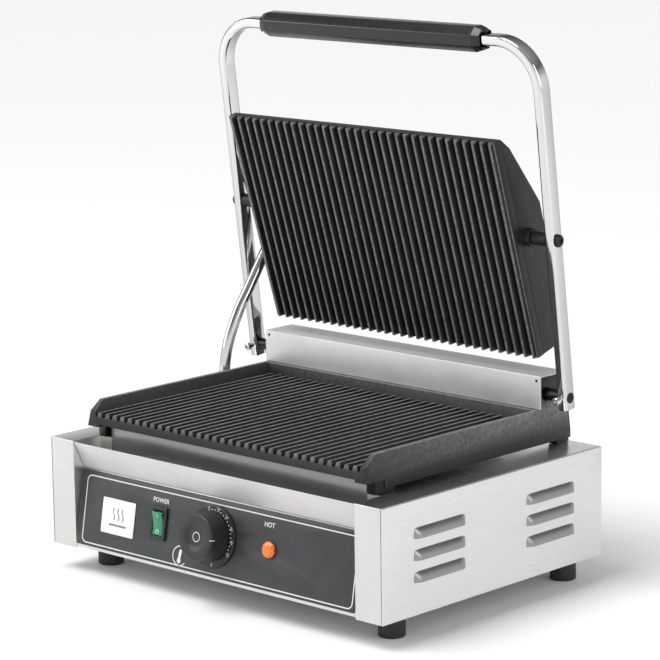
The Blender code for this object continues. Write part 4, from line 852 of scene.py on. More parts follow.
def build_sides(scene):
    """Side panels with their pressed louvres."""
    settings = scene.press_steel
    top = 0.105
    middles = (0.076, 0.231)
    panel_top = CASE_TOP - 0.0003
    for side, name in ((-1, "left"), (1, "right")):
        wall = sorted((side * (CASE_HALF - SHEET), side * CASE_HALF))
        sheet = box(wall, (back(0.0003), CASE_BACK), (CASE_LOW, panel_top))
        slots = []
        for middle in middles:
            for row in range(settings.louvre_rows):
                high = top - row * settings.louvre_pitch
                reach = sorted((side * 0.2, side * 0.23))
                slots.append(box(reach, (back(middle) - settings.louvre_length / 2 + 0.001,
                                         back(middle) + settings.louvre_length / 2 - 0.001),
                                 (high - settings.louvre_height, high - 0.0012)))
        sheet = combine(sheet, slots, "DIFFERENCE")
        outer = [lambda p: near(abs(p.x), CASE_HALF), lambda p: near(p.y, back(0.0003)),
                 lambda p: near(p.z, panel_top)]
        soften(sheet, 0.0004, 3, only=lambda edge: lies_on(edge, outer) > 1)
        # Louvre hoods in the darker steel: painted shade on their faces.
        column = grow(repeat_tree(), {"Count": settings.louvre_rows,
                                      "Step": (0.0, 0.0, -settings.louvre_pitch),
                                      "Turn": 0.0, "Finish": FINISHES["steel_dim"]},
                      as_mesh(louvre_hood(settings)))
        grid = grow(repeat_tree(), {"Count": 2, "Step": (0.0, middles[1] - middles[0], 0.0), "Turn": 0.0,
                                    "Finish": FINISHES["steel_dim"]}, as_mesh(column))
        facing = Matrix.Translation((side * CASE_HALF, back(middles[0]), top)) @ Matrix.Scale(side, 4,
                                                                                              (1, 0, 0))
        piece(f"side_panel_{name}", sheet, "steel_back", "base", ["body_shell"])
        piece(f"louvres_{name}", moved(grid, facing), "steel_dim", "base", ["body_shell"])


def build_back(scene):
    """Rear sheet, base sheet and the rear panel's screws."""
    piece("rear_sheet", soften(node_copy("rear_panel"), 0.0003, 2), "steel_across", "base",
          ["rear_panel"])
    piece("base_sheet", soften(node_copy("bottom_plate"), 0.0003, 2), "zinc", "base",
          ["bottom_plate"])
    nodes = [f"rear_screw_{side}_{level}" for side in ("left", "right") for level in ("low", "high")]
    low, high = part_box("rear_screw_left_low")
    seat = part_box("rear_panel")[1].y + 0.0003
    screw = screw_head(0.0033, 0.0021, 0.0017, 0.0080)
    pitch_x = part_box("rear_screw_right_low")[0].x - low.x
    pitch_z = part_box("rear_screw_left_high")[0].z - low.z
    finish = FINISHES["zinc"]
    pair = grow(repeat_tree(), {"Count": 2, "Step": (pitch_x, 0.0, 0.0), "Turn": 0.0, "Finish": finish},
                as_mesh(moved(screw, Matrix.Rotation(-math.pi / 2, 4, "X"))))
    four = grow(repeat_tree(), {"Count": 2, "Step": (0.0, 0.0, pitch_z), "Turn": 0.0, "Finish": finish},
                as_mesh(pair))
    place = Matrix.Translation(((low.x + high.x) / 2, seat, (low.z + high.z) / 2))
    piece("rear_screws", moved(four, place), "zinc", "base", nodes)


def screw_head(radius, height, shank, depth):
    """Pan-head screw along Z with a cross recess; its head stands above zero."""
    dome = [(radius * math.cos(math.radians(a)), height * math.sin(math.radians(a)) ** 0.8)
            for a in (0, 15, 30, 45, 60, 75)]
    profile = [(0.0, -depth), (shank * 0.6, -depth + 0.0008), (shank, -depth + 0.002), (shank, 0.0),
               (radius, 0.0), *dome[1:], (0.0, height)]
    head = turned(profile, 32)
    slot = radius * 0.62
    thin = radius * 0.13
    cuts = [box((-slot, slot), (-thin, thin), (height * 0.45, height * 1.5)),
            box((-thin, thin), (-slot, slot), (height * 0.45, height * 1.5))]
    cross = combine(cuts[0], [cuts[1]], "UNION")
    return combine(head, [cross], "DIFFERENCE")


def build_feet(scene):
    """Four rubber feet with a rounded tread and a collar under the base."""
    radius = 0.0125
    profile = [(0.0, 0.0), (0.0085, 0.0), (0.0092, 0.0006), (0.0104, 0.0006)]
    profile += [(radius - 0.0016 + 0.0016 * math.cos(math.radians(a)),
                 0.0016 + 0.0016 * math.sin(math.radians(a)))
                for a in (-75, -50, -25, 0)]
    profile += [(radius - 0.0002, 0.0185), (radius - 0.0006, 0.0200), (0.0113, 0.0208), (0.0111, 0.0243),
                (0.0105, 0.0250), (0.0, 0.0250)]
    for row in ("front", "rear"):
        for name in ("left", "right"):
            node = f"foot_{row}_{name}"
            low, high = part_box(node)
            middle = (low + high) / 2
            piece(node + "_rubber", moved(turned(profile, 72), Matrix.Translation((middle.x, middle.y, 0.0))),
                  "rubber", "base", [node], sharp=50.0)


# ---- front -----------------------------------------------------------------------------------
def build_front(scene):
    """Sloped carrier with its bright lip, and the drip tray above it."""
    piece("panel_carrier", soften(node_copy("front_panel"), 0.00035, 3), "steel_across", "base",
          ["front_panel"])
    tray = soften(node_copy("drip_tray"), 0.00035, 3)
    piece("tray_sheet", tray, "satin", "tray", ["drip_tray"])


PRINT_THICKNESS = 0.00005


def printed(outline, level):
    """A printed mark on the overlay's plane: a very thin solid just above the given level."""
    return prism(outline, "Z", level, level + PRINT_THICKNESS)


def printed_ring(outer, inner, level):
    """A closed printed band between two outlines with the same number of points."""
    shape = bmesh.new()
    loops = []
    for outline, height in ((outer, level), (outer, level + PRINT_THICKNESS),
                            (inner, level + PRINT_THICKNESS),
                            (inner, level)):
        loops.append([shape.verts.new((x, y, height)) for x, y in outline])
    for index, loop in enumerate(loops):
        beside = loops[(index + 1) % len(loops)]
        for step in range(len(loop)):
            following = (step + 1) % len(loop)
            shape.faces.new((loop[step], loop[following], beside[following], beside[step]))
    bmesh.ops.recalc_face_normals(shape, faces=shape.faces)
    return shape


def lettering(text, size, level, place, turned_by=0.0, thickness=0.00005):
    """Plain lettering as a thin solid, centred on the place."""
    curve = bpy.data.curves.new("lettering", "FONT")
    curve.body = text
    curve.size = size
    curve.align_x = "CENTER"
    curve.align_y = "CENTER"
    curve.extrude = thickness / 2
    curve.offset = size * 0.012
    carrier = bpy.data.objects.new("lettering", curve)
    bpy.context.scene.collection.objects.link(carrier)
    graph = bpy.context.evaluated_depsgraph_get()
    mesh = bpy.data.meshes.new_from_object(carrier.evaluated_get(graph))
    bpy.data.objects.remove(carrier)
    shape = bmesh.new()
    shape.from_mesh(mesh)
    bpy.data.meshes.remove(mesh)
    bmesh.ops.remove_doubles(shape, verts=shape.verts, dist=1e-7)
    bmesh.ops.recalc_face_normals(shape, faces=shape.faces)
    middle = Matrix.Translation((*place, level + thickness / 2))
    return moved(shape, middle @ Matrix.Rotation(turned_by, 4, "Z"))


def arc_band(centre, radius, width, start, end, level, steps=48):
    """An open printed arc of the given width."""
    outer = arc(centre, radius + width / 2, start, end, steps)
    inner = arc(centre, radius - width / 2, end, start, steps)
    return printed(outer + inner, level)


SWITCH = (-0.0720, 0.0406)
LAMP = (0.0722, 0.0406)
DIAL = (0.0, 0.0406)


def build_overlay(scene):
    """Charcoal overlay, its white outline and the marks beside the controls."""
    settings = scene.press_controls
    piece("overlay_sheet", soften(node_copy("control_overlay"), 0.0002, 2), "overlay", "base",
          ["control_overlay"])
    level = OVERLAY_TOP + 0.00002
    width, height, radius = 0.3535, 0.0657, 0.0060
    centre = (0.00175, 0.03835)
    line = settings.outline
    marks = printed_ring(rounded_rectangle(width, height, radius, centre),
                         rounded_rectangle(width - 2 * line, height - 2 * line, radius - line, centre), level)
    marks = merged(marks, lettering("POWER", 0.0062, level, (-0.0722, 0.0618)),
                   lettering("HOT", 0.0062, level, (0.0693, 0.0627)), *thermometer(level))
    piece("overlay_marks", moved(marks, PANEL), "print", "base")


def thermometer(level):
    """The temperature sign left of the dial: an open ring round a small thermometer."""
    centre = (-0.0408, 0.0152)
    ring = arc_band(centre, 0.0090, 0.0010, 75, 320, level)
    lean = Matrix.Translation((*centre, 0.0)) @ Matrix.Rotation(math.radians(-8.0), 4, "Z")
    stem_outer = arc((0.0, 0.0045), 0.0016, 0, 180, 10) + [(-0.0016, -0.0030)]
    stem_outer += arc((0.0, -0.0048), 0.0024, 132, 408, 22) + [(0.0016, -0.0030)]
    stem = moved(printed(stem_outer, level), lean)
    return ring, stem


def build_badge(scene):
    """White badge with a plain sign: three waves of warm air over a bar."""
    low = 0.0014
    centre = (-0.1272, 0.0366)
    outline = rounded_rectangle(0.0445, 0.0336, 0.0010, centre, 4)
    plate = soften(prism(outline, "Z", low, low + 0.0005), 0.00015, 2)
    piece("badge_face", moved(plate, PANEL), "badge", "base", ["badge_plate"])
    level = low + 0.00052
    marks = []
    for column in (-1, 0, 1):
        x = centre[0] + column * 0.0060
        left, right = [], []
        for step in range(13):
            t = step / 12
            sway = 0.0012 * math.sin(2 * math.pi * t)
            left.append((x + sway - 0.0007, centre[1] - 0.0035 + 0.0120 * t))
            right.append((x + sway + 0.0007, centre[1] - 0.0035 + 0.0120 * t))
        marks.append(printed(left + right[::-1], level))
    marks.append(printed(rounded_rectangle(0.0240, 0.0020, 0.0009, (centre[0], centre[1] - 0.0080), 4),
                         level))
    piece("badge_sign", moved(merged(*marks), PANEL), "grey_print", "base")


def build_dial(scene):
    """Fixed scale ring with dots, a zero mark and numerals."""
    settings = scene.press_controls
    low = 0.0014
    top = low + 0.0024
    radius = settings.dial_radius
    profile = [(0.0065, low), (radius, low), (radius, low + 0.0014), (radius - 0.0003, low + 0.0020),
               (radius - 0.0010, top), (radius - 0.0016, top), (radius - 0.0019, top - 0.0002),
               (0.0065, top - 0.0002)]
    lift = Matrix.Translation((*DIAL, 0.0))
    piece("dial_plate", moved(turned(profile, 96), PANEL @ lift), "black", "base",
          ["dial_ring"])
    level = top - 0.0002 + 0.00002
    first, last = 105.0, -30.0
    step = math.radians((last - first) / (settings.dots - 1))
    dot = prism(arc((0.0, 0.0), settings.dot, 0, 330, 11), "Z", level, level + 0.00005)
    dot = moved(dot, Matrix.Rotation(math.radians(first), 4, "Z") @ Matrix.Translation((0.0247, 0.0, 0.0)))
    dots = grow(repeat_tree(), {"Count": settings.dots, "Step": (0.0, 0.0, 0.0), "Turn": step,
                                "Finish": FINISHES["print"]}, as_mesh(dot))
    marks = [dots]
    for index, value in enumerate((50, 100, 150, 200, 250, 300)):
        angle = math.radians(first + (last - first) * index / 5)
        place = (0.0270 * math.cos(angle), 0.0270 * math.sin(angle))
        marks.append(lettering(str(value), 0.0031, level, place, angle - math.pi / 2))
    zero = printed([(-0.0005, -0.0280), (0.0005, -0.0280), (0.0005, -0.0248), (-0.0005, -0.0248)], level)
    marks.append(moved(zero, Matrix.Rotation(math.radians(8.0), 4, "Z")))
    piece("dial_marks", moved(merged(*marks), PANEL @ lift), "print", "base")


def build_knob(scene):
    """Knob with a dished face, a pale index line and a plain centre cap."""
    low = 0.0014 + 0.0024 + 0.0003
    top = 0.0255
    base = scene.press_controls.knob_radius
    face = base - 0.0007
    profile = [(0.0033, low), (base - 0.0004, low), (base, low + 0.0004), (face, top - 0.0024)]
    profile += [(face - 0.0019 + 0.0019 * math.cos(math.radians(a)),
                 top - 0.0022 + 0.0022 * math.sin(math.radians(a)))
                for a in (15, 35, 55, 75, 90)]
    profile += [(0.0140, top - 0.0001), (0.0128, top - 0.0003), (0.0115, top - 0.0009),
                (0.0104, top - 0.0016),
                (0.0092, top - 0.0021), (0.0070, top - 0.0023), (0.0, top - 0.0023), (0.0, top - 0.0060),
                (0.0033, top - 0.0060)]
    lift = PANEL @ Matrix.Translation((*DIAL, 0.0))
    piece("knob_body", moved(turned(profile, 96), lift), "knob", "knob", ["thermostat_knob"],
          sharp=40.0)
    level = top - 0.0023 + 0.00003
    ring = printed_ring(arc((0, 0), 0.0046, 0, 350, 35), arc((0, 0), 0.0039, 0, 350, 35), level)
    index = merged(box((face - 0.0022, face + 0.00012), (-0.0004, 0.0004), (top - 0.0008, top + 0.00006)),
                   box((face - 0.0004, face + 0.00022), (-0.0004, 0.0004), (top - 0.0045, top - 0.0006)))
    piece("knob_marks", moved(merged(ring, index), lift), "print", "knob")
    paint_node("thermostat_spindle", "steel")
    paint_node("thermostat_body", "zinc")


def build_switch(scene):
    """Bezel and body of the switch, the green rocker and its ring mark."""
    piece("switch_bezel", soften(node_copy("switch_body"), 0.0004, 3), "black", "base",
          ["switch_body"])
    tilt = math.radians(9.0)
    lift = PANEL @ Matrix.Translation((*SWITCH, 0.0005)) @ Matrix.Rotation(tilt, 4, "X")
    outline = [(-0.0110, -0.0030), (0.0110, -0.0030), (0.0112, 0.0036), (0.0104, 0.0042)]
    outline += [(0.0104 * (1 - t), 0.0026 + 0.0016 * (1 - t) ** 2) for t in (0.25, 0.5, 0.75, 1.0)]
    outline += [(-y, z) for y, z in reversed(outline[2:-1])]
    rocker = soften(prism(outline, "X", -0.0064, 0.0064), 0.0006, 3, angle=40.0)
    piece("rocker_key", moved(rocker, lift), "green", "rocker", ["switch_rocker"])
    level = 0.0037
    slope = Matrix.Translation((0.0, -0.0076, level - 0.00018)) @ Matrix.Rotation(-math.radians(10.5), 4, "X")
    ring = printed_ring(arc((0, 0), 0.0021, 0, 350, 35), arc((0, 0), 0.0014, 0, 350, 35), 0.0)
    bar = moved(printed([(-0.00035, -0.0018), (0.00035, -0.0018), (0.00035, 0.0018), (-0.00035, 0.0018)],
                        0.0),
                Matrix.Translation((0.0, 0.0076, level - 0.00018)) @ Matrix.Rotation(math.radians(10.5), 4,
                                                                                     "X"))
    piece("rocker_marks", moved(merged(moved(ring, slope), bar), lift), "print", "rocker")


def build_lamp(scene):
    """Pilot lamp: collar and domed amber lens."""
    low = 0.0014
    radius = scene.press_controls.lens_radius
    profile = [(0.0, low), (radius - 0.0001, low), (radius, low + 0.0001), (radius, low + 0.0014)]
    profile += [((radius - 0.0001) * math.cos(math.radians(a)),
                 low + 0.0014 + 0.0033 * math.sin(math.radians(a)))
                for a in (12, 24, 36, 48, 60, 72, 82)]
    profile.append((0.0, low + 0.0047))
    lift = PANEL @ Matrix.Translation((*LAMP, 0.0))
    piece("lamp_dome", moved(turned(profile, 64), lift), "amber", "base", ["lamp_lens"],
          sharp=50.0)
    paint_node("lamp_body", "black")


# ---- lower plate -----------------------------------------------------------------------------
def add_rubbed(shape, height_of, crest, span=0.0005):
    """Point attribute that is 1 on the crests and falls to 0 a little below them."""
    layer = shape.verts.layers.float.new("rubbed_and_highlit")
    for vert in shape.verts:
        depth = abs(height_of(vert.co) - crest)
        vert[layer] = max(0.0, 1.0 - depth / span)
    return shape


def rib_row(settings, crest, width_at_root, low, high):
    """The row of ribs between low and high along Y, crests at the given height, ends rubbed."""
    sunk = 0.0012
    slope = (width_at_root - settings.crest) / settings.rib_depth
    row = grow(rib_row_tree(), {"Count": settings.rib_count, "Pitch": settings.rib_pitch,
                                "Length": low - high,
                                "Crest": settings.crest, "Root": width_at_root + slope * sunk,
                                "Height": settings.rib_depth + sunk, "Rounding": settings.rounding,
                                "Finish": FINISHES["ribs"]})
    start = min(vert.co.y for vert in row.verts)
    top = max(vert.co.z for vert in row.verts)
    middle = (settings.rib_count - 1) / 2 * settings.rib_pitch
    moved(row, Matrix.Translation((-middle, low - start, crest - top)))
    end = 0.0010
    for y in (low + end, low + 2 * end, high - end, high - 2 * end):
        geometry = row.verts[:] + row.edges[:] + row.faces[:]
        bmesh.ops.bisect_plane(row, geom=geometry, plane_co=(0.0, y, 0.0), plane_no=(0.0, 1.0, 0.0))
    # Crests and rib ends marked for rubbed wear and painted highlight; the ends get the full mark.
    add_rubbed(row, lambda p: p.z, crest)
    layer = row.verts.layers.float["rubbed_and_highlit"]
    valley = crest - settings.rib_depth
    for vert in row.verts:
        near_end = min(vert.co.y - low, high - vert.co.y) < 1.5 * end
        if near_end and vert.co.z > valley + 0.0003:
            vert[layer] = 1.0
    return row


def casting_solid(settings):
    """Bed, walls with their skirts, feet and hinge ears as one solid with sharp edges."""
    valley = 0.157 - settings.rib_depth
    foot = (settings.rib_count - 1) / 2 * settings.rib_pitch + 0.0055
    half = [(foot, valley), (0.1735, 0.167), (0.178, 0.167), (0.181, 0.1425), (0.181, 0.1345),
            (0.169, 0.1345),
            (0.166, 0.145)]
    outline = half + [(-x, z) for x, z in reversed(half)]
    solid = prism(outline, "Y", back(0.018), back(0.303))
    nose = [(0.010, 0.12), (0.0420, 0.12), (0.0420, 0.1425), (0.0181, 0.1425), (0.0204, 0.157),
            (0.032, 0.167),
            (0.032, 0.175), (0.010, 0.175)]
    solid = combine(solid, [box((-0.169, 0.169), (back(0.262), back(0.32)), (0.13, 0.18)),
                            prism([(back(depth), z) for depth, z in nose], "X", -0.2, 0.2)], "DIFFERENCE")
    joins = [box((-0.1745, 0.1745), (back(0.256), back(0.262)), (0.150, 0.167))]
    ear = [(0.262, 0.158), (0.262, 0.1954), (0.264, 0.1974), (0.2894, 0.1974), (0.2974, 0.1894),
           (0.2974, 0.158)]
    for side in (-1, 1):
        for start, end in ((0.031, 0.0555), (0.284, 0.302)):
            joins.append(box(sorted((side * 0.170, side * 0.1796)), (back(start), back(end)),
                             (0.1303, 0.1440)))
        joins.append(prism([(back(depth), z) for depth, z in ear], "X",
                           *sorted((side * 0.1735, side * 0.178))))
    solid = combine(solid, joins, "UNION")
    bore = moved(turned([(0.0, -0.19), (0.0061, -0.19), (0.0061, 0.19), (0.0, 0.19)], 48),
                 Matrix.Translation(HINGE) @ Matrix.Rotation(math.pi / 2, 4, "Y"))
    return combine(solid, [bore], "DIFFERENCE")


def build_lower_plate(scene):
    """Lower casting and its row of ribs."""
    settings = scene.press_iron
    solid = soften(casting_solid(settings), settings.cast_edge, 3)
    # Wall tops marked for rubbed wear and painted highlight.
    add_rubbed(solid, lambda p: p.z, 0.167, 0.0006)
    piece("lower_casting", solid, "ribs", "base", ["lower_plate"])
    row = rib_row(settings, 0.157, settings.rib_pitch - settings.valley, back(0.0199), back(0.2566))
    piece("lower_ribs", row, "ribs", "base", ["lower_plate"])
    for row_name in ("front", "rear"):
        for side in ("left", "right"):
            paint_node(f"plate_bolt_{row_name}_{side}", "zinc")


def paint_inner(scene):
    """Finishes on the heating, sensing and wiring pieces, which keep their shape."""
    for node, finish in (("lower_element", "steel"), ("lower_element_clamp", "zinc"),
                         ("sensor_bulb", "copper"),
                         ("capillary_tube", "copper"), ("terminal_block", "ceramic"),
                         ("lead_to_switch", "sleeve"),
                         ("lead_to_thermostat", "sleeve"), ("lead_to_lamp", "sleeve"),
                         ("lead_to_element", "sleeve"), ("gland_nut", "black"), ("upper_element", "steel"),
                         ("upper_element_clamp", "zinc")):
        paint_node(node, finish)


def build_gland(scene):
    """Cord gland behind, with a ribbed cap."""
    low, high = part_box("cord_gland")
    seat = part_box("rear_panel")[1].y + 0.0003
    reach = high.y - seat
    profile = [(0.0042, reach), (0.0042, -0.012), (0.0080, -0.012), (0.0080, 0.0), (0.0121, 0.0),
               (0.0124, 0.0004),
               (0.0124, 0.0050), (0.0110, 0.0064), (0.0102, 0.0070), (0.0098, reach - 0.0016),
               (0.0088, reach - 0.0004),
               (0.0080, reach)]
    body = turned(profile, 72)
    rib = soften(box((0.0094, 0.0107), (-0.00045, 0.00045), (0.0068, reach - 0.0020)), 0.0003, 2)
    ribs = grow(repeat_tree(), {"Count": 18, "Step": (0.0, 0.0, 0.0), "Turn": 2 * math.pi / 18,
                                "Finish": FINISHES["black"]}, as_mesh(rib))
    place = Matrix.Translation(((low.x + high.x) / 2, seat, (low.z + high.z) / 2)) @ \
        Matrix.Rotation(-math.pi / 2, 4, "X")
    piece("gland_cap", moved(merged(body, ribs), place), "black", "base", ["cord_gland"])


# ---- hinge -----------------------------------------------------------------------------------
def build_hinge(scene):
    """Channel over the shaft with its rivets, the shaft and the two balance springs."""
    cover = soften(node_copy("hinge_cover"), 0.0006, 3)
    low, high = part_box("hinge_cover")
    pin = turned([(0.0, -0.0008), (0.0010, -0.0008), (0.0010, 0.0), (0.0014, 0.0), (0.0013, 0.0003),
                  (0.0, 0.0004)], 20)
    pins = grow(repeat_tree(), {"Count": 2, "Step": (high.x - low.x - 0.010, 0.0, 0.0), "Turn": 0.0,
                                "Finish": FINISHES["black_oxide"]},
                as_mesh(moved(pin, Matrix.Rotation(math.pi / 2, 4, "X"))))
    piece("hinge_pins", moved(pins, Matrix.Translation((low.x + 0.005, low.y, 0.1945))), "black_oxide",
          "base")
    piece("hinge_channel", cover, "satin", "base", ["hinge_cover"])
    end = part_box("hinge_shaft")[1].x
    radius = 0.00575
    shaft = turned([(0.0, -end), (radius - 0.0006, -end), (radius, -end + 0.0006), (radius, end - 0.0006),
                    (radius - 0.0006, end), (0.0, end)], 48)
    along = Matrix.Translation(HINGE) @ Matrix.Rotation(math.pi / 2, 4, "Y")
    piece("shaft_rod", moved(shaft, along), "black_oxide", "lid", ["hinge_shaft"])
    for name, side in (("left", -1), ("right", 1)):
        low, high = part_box(f"balance_spring_{name}")
        turns = 9.0
        coil = grow(coil_tree(), {"Turns": turns, "Radius": 0.00725, "Height": turns * 0.0026, "Wire": 0.0011,
                                  "Finish": FINISHES["steel"]})
        start = Matrix.Translation((side * 0.140, HINGE.y, HINGE.z)) @ Matrix.Rotation(-side * math.pi / 2,
                                                                                       4, "Y")
        piece(f"spring_coil_{name}", moved(coil, start), "steel", "base",
              [f"balance_spring_{name}"])


# ---- lid -------------------------------------------------------------------------------------
def build_handle(scene):
    """Bent chromed bar, faceted grip, set screws, pins and spacers."""
    settings = scene.press_handle
    arm, rise, tail = 0.201, 0.335, 0.0115
    path = [(-arm, -tail, 0.0), (-arm, rise, 0.0), (arm, rise, 0.0), (arm, -tail, 0.0)]
    bar = grow(bar_tree(), {"Across": settings.bar_across, "Deep": settings.bar_deep,
                            "Rounding": settings.bar_round, "Bend": settings.bend,
                            "Finish": FINISHES["chrome"]},
               path_mesh(path))
    stand = LID @ Matrix.Rotation(math.pi / 2, 4, "X")
    piece("handle_bar", moved(soften_ends(bar), stand), "chrome", "lid", ["handle_frame"],
          sharp=50.0)
    build_grip(settings, rise)
    for name, side in (("left", -1), ("right", 1)):
        socket_screw(side, name, arm)
        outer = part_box("handle_frame")[1].x + 0.0003
        bolt = [(0.0, 0.159), (0.0037, 0.159), (0.0040, 0.1594), (0.0040, outer), (0.0060, outer)]
        bolt += [(0.0038 + 0.0022 * math.cos(math.radians(a)),
                  outer + 0.0010 + 0.0022 * math.sin(math.radians(a)))
                 for a in (0, 30, 60, 90)]
        bolt += [(0.0022, outer + 0.0032), (0.0018, outer + 0.0022), (0.0, outer + 0.0022)]
        across = LID @ Matrix.Translation((0.0, 0.0, (PINS - HINGE).length)) @ \
            Matrix.Rotation(side * math.pi / 2, 4, "Y")
        piece(f"pin_bolt_{name}", moved(turned(bolt, 48), across), "black_oxide", "lid",
              [f"pivot_bolt_{name}"])
        low, high = 0.1783, 0.1957
        tube = [(0.0043, low), (0.0059, low), (0.0064, low + 0.0005), (0.0064, high - 0.0005), (0.0059, high),
                (0.0043, high)]
        piece(f"pin_spacer_{name}", moved(turned(tube, 48), across), "iron", "lid",
              [f"pivot_spacer_{name}"])


def soften_ends(shape):
    """Small bevel round the bar's two cut ends."""
    rims = [edge for edge in shape.edges if len(edge.link_faces) == 2
            and edge.calc_face_angle(0.0) > math.radians(70)]
    bmesh.ops.bevel(shape, geom=rims, offset=0.0006, segments=2, profile=0.5, affect="EDGES",
                    clamp_overlap=True)
    return shape


def build_grip(settings, rise):
    """Eight-sided grip: long facets with soft edges, chamfered towards both ends, hollow for the bar."""
    half = 0.140
    apothem = settings.grip_across / 2
    corner = apothem / math.cos(math.pi / 8)
    sections = [(-half, 0.80), (-half + 0.008, 1.0), (half - 0.008, 1.0), (half, 0.80)]
    shape = bmesh.new()
    rings = []
    for along, size in sections:
        ring = []
        for side in range(8):
            angle = math.pi / 8 + side * math.pi / 4
            ring.append(shape.verts.new((along, corner * size * math.cos(angle),
                                         corner * size * math.sin(angle))))
        rings.append(ring)
    shape.faces.new(rings[0])
    shape.faces.new(rings[-1])
    for low, high in zip(rings, rings[1:]):
        for side in range(8):
            following = (side + 1) % 8
            shape.faces.new((low[side], low[following], high[following], high[side]))
    bmesh.ops.recalc_face_normals(shape, faces=shape.faces)
    hole_z = settings.bar_across / 2 + 0.0004
    hole_y = settings.bar_deep / 2 + 0.0004
    shape = combine(shape, [box((-0.2, 0.2), (-hole_y, hole_y), (-hole_z, hole_z))], "DIFFERENCE")
    soften(shape, settings.grip_edge, 4, angle=15.0)
    piece("grip_sleeve", moved(shape, LID @ Matrix.Translation((0.0, 0.0, rise))), "grip", "lid",
          ["handle_grip"], sharp=60.0)


def socket_screw(side, name, arm):
    """Set screw with a knurled head and a hexagon socket, from the front of the arm."""
    tip, seat, reach, radius = 0.00605, 0.0120, 0.0165, 0.0038
    profile = [(0.0, tip), (0.0018, tip), (0.0021, tip + 0.0004), (0.0021, seat), (radius, seat),
               (radius, reach - 0.0006), (radius - 0.0006, reach), (0.0, reach)]
    head = turned(profile, 60)
    socket = turned([(0.0, reach - 0.0020), (0.0020, reach - 0.0020), (0.0020, reach + 0.001),
                     (0.0, reach + 0.001)], 6)
    head = combine(head, [socket], "DIFFERENCE")
    place = LID @ Matrix.Translation((side * arm, 0.0, 0.0)) @ Matrix.Rotation(math.pi / 2, 4, "X")
    piece(f"clamp_screw_{name}", moved(head, place), "chrome", "lid", [f"set_screw_{name}"])


def build_upper_plate(scene):
    """Upper casting with its ribs, and the hood behind it."""
    settings = scene.press_iron
    crest, top = -0.0206, -0.0096
    front, rear, half = -0.1013, 0.1167, 0.170
    valley = crest + settings.rib_depth
    edge = 0.1681
    outline = [(-half, top), (-half, crest + 0.002), (-edge, crest + 0.002), (-edge - 0.0004, valley),
               (edge + 0.0004, valley), (edge, crest + 0.002), (half, crest + 0.002), (half, top)]
    slab = soften(prism(outline, "Y", front, rear), 0.0007, 3)
    # Slab's rim marked for rubbed wear and painted highlight.
    add_rubbed(slab, lambda p: p.z, crest + 0.002, 0.0005)
    piece("upper_slab", moved(slab, PLATE), "ribs", "upper_grill", ["upper_plate"])
    row = rib_row(settings, -crest, settings.rib_pitch - settings.valley, front + 0.0002, rear - 0.0002)
    flip = Matrix.Scale(-1, 4, (0, 0, 1))
    piece("upper_ribs", moved(row, PLATE @ flip), "ribs", "upper_grill", ["upper_plate"])
    low = top + 0.0003
    side = [(-0.1010, low), (-0.1010, -0.0086), (-0.0883, 0.0011), (-0.0243, 0.0268), (0.1017, 0.0268),
            (0.1164, 0.0118), (0.1164, low)]
    hood = prism(side, "X", -0.1697, 0.1697)
    bosses = [moved(turned([(0.0, 0.168), (0.0085, 0.168), (0.0085, 0.178), (0.0, 0.178)], 48),
                    Matrix.Rotation(s * math.pi / 2, 4, "Y")) for s in (-1, 1)]
    hood = combine(hood, bosses, "UNION")
    holes = [moved(turned([(0.0, 0.150), (0.0043, 0.150), (0.0043, 0.185), (0.0, 0.185)], 48),
                   Matrix.Rotation(s * math.pi / 2, 4, "Y")) for s in (-1, 1)]
    hood = combine(hood, holes, "DIFFERENCE")
    soften(hood, 0.0022, 4)
    piece("hood_casting", moved(hood, PLATE), "iron", "upper_grill", ["upper_hood"])
    elbow = soften(node_copy("conduit_elbow"), 0.0016, 3)
    piece("elbow_box", elbow, "zinc", "upper_grill", ["conduit_elbow"])


# ---- conduit ---------------------------------------------------------------------------------
LOWER_RUN = [(-0.1895, 0.213, 0.116), (-0.1895, 0.213, 0.138), (-0.1895, 0.2120, 0.166),
             (-0.1890, 0.2180, 0.1936),
             (-0.1872, 0.2310, 0.2226), (-0.1852, 0.2425, 0.2418), (-0.1838, 0.2545, 0.2607)]
UPPER_RUN = [(-0.1825, 0.066, 0.022), (-0.1820, 0.083, 0.040), (-0.1785, 0.098, 0.054),
             (-0.1680, 0.109, 0.0605),
             (-0.1520, 0.1150, 0.0620), (-0.1350, 0.1167, 0.0620), (-0.1180, 0.1167, 0.0620)]


def build_conduit(scene):
    """Chromed conduit in two lengths, the lower bending with the lid and the upper with the plate."""
    points = [Vector((x, back(depth), z)) for x, depth, z in LOWER_RUN]
    points += [PLATE @ Vector((x, 0.1167 - up, behind - 0.0206)) for x, up, behind in UPPER_RUN]
    curve = smooth_curve(points, 14)
    joint = 14 * (len(LOWER_RUN) + 1)
    values = {"Radius": 0.0055, "Sides": 32, "Finish": FINISHES["chrome"]}
    lower = grow(tube_tree(), values, path_mesh(curve[:joint + 1]))
    upper = grow(tube_tree(), values, path_mesh(curve[joint:]))
    piece("conduit_lower", lower, "chrome", "base", ["lid_conduit"],
          blend=("base", "lid", (0.0, back(0.213), 0.150), (0.0, back(0.262), 0.275)))
    start, end = curve[joint + 10], curve[-12]
    piece("conduit_upper", upper, "chrome", "lid", ["lid_conduit"],
          blend=("lid", "upper_grill", tuple(start), tuple(end)))
    low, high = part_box("conduit_ferrule")
    bore = 0.0061
    top = high.z - low.z
    ferrule = [(bore, 0.0), (0.0084, 0.0), (0.0085, 0.0002), (0.0085, 0.0026), (0.0082, 0.0030),
               (0.0073, 0.0038),
               (0.0072, 0.0042), (0.0072, top - 0.0006), (0.0068, top), (bore, top)]
    place = Matrix.Translation(((low.x + high.x) / 2, (low.y + high.y) / 2, low.z))
    piece("conduit_collar", moved(turned(ferrule, 64), place), "chrome", "base",
          ["conduit_ferrule"])


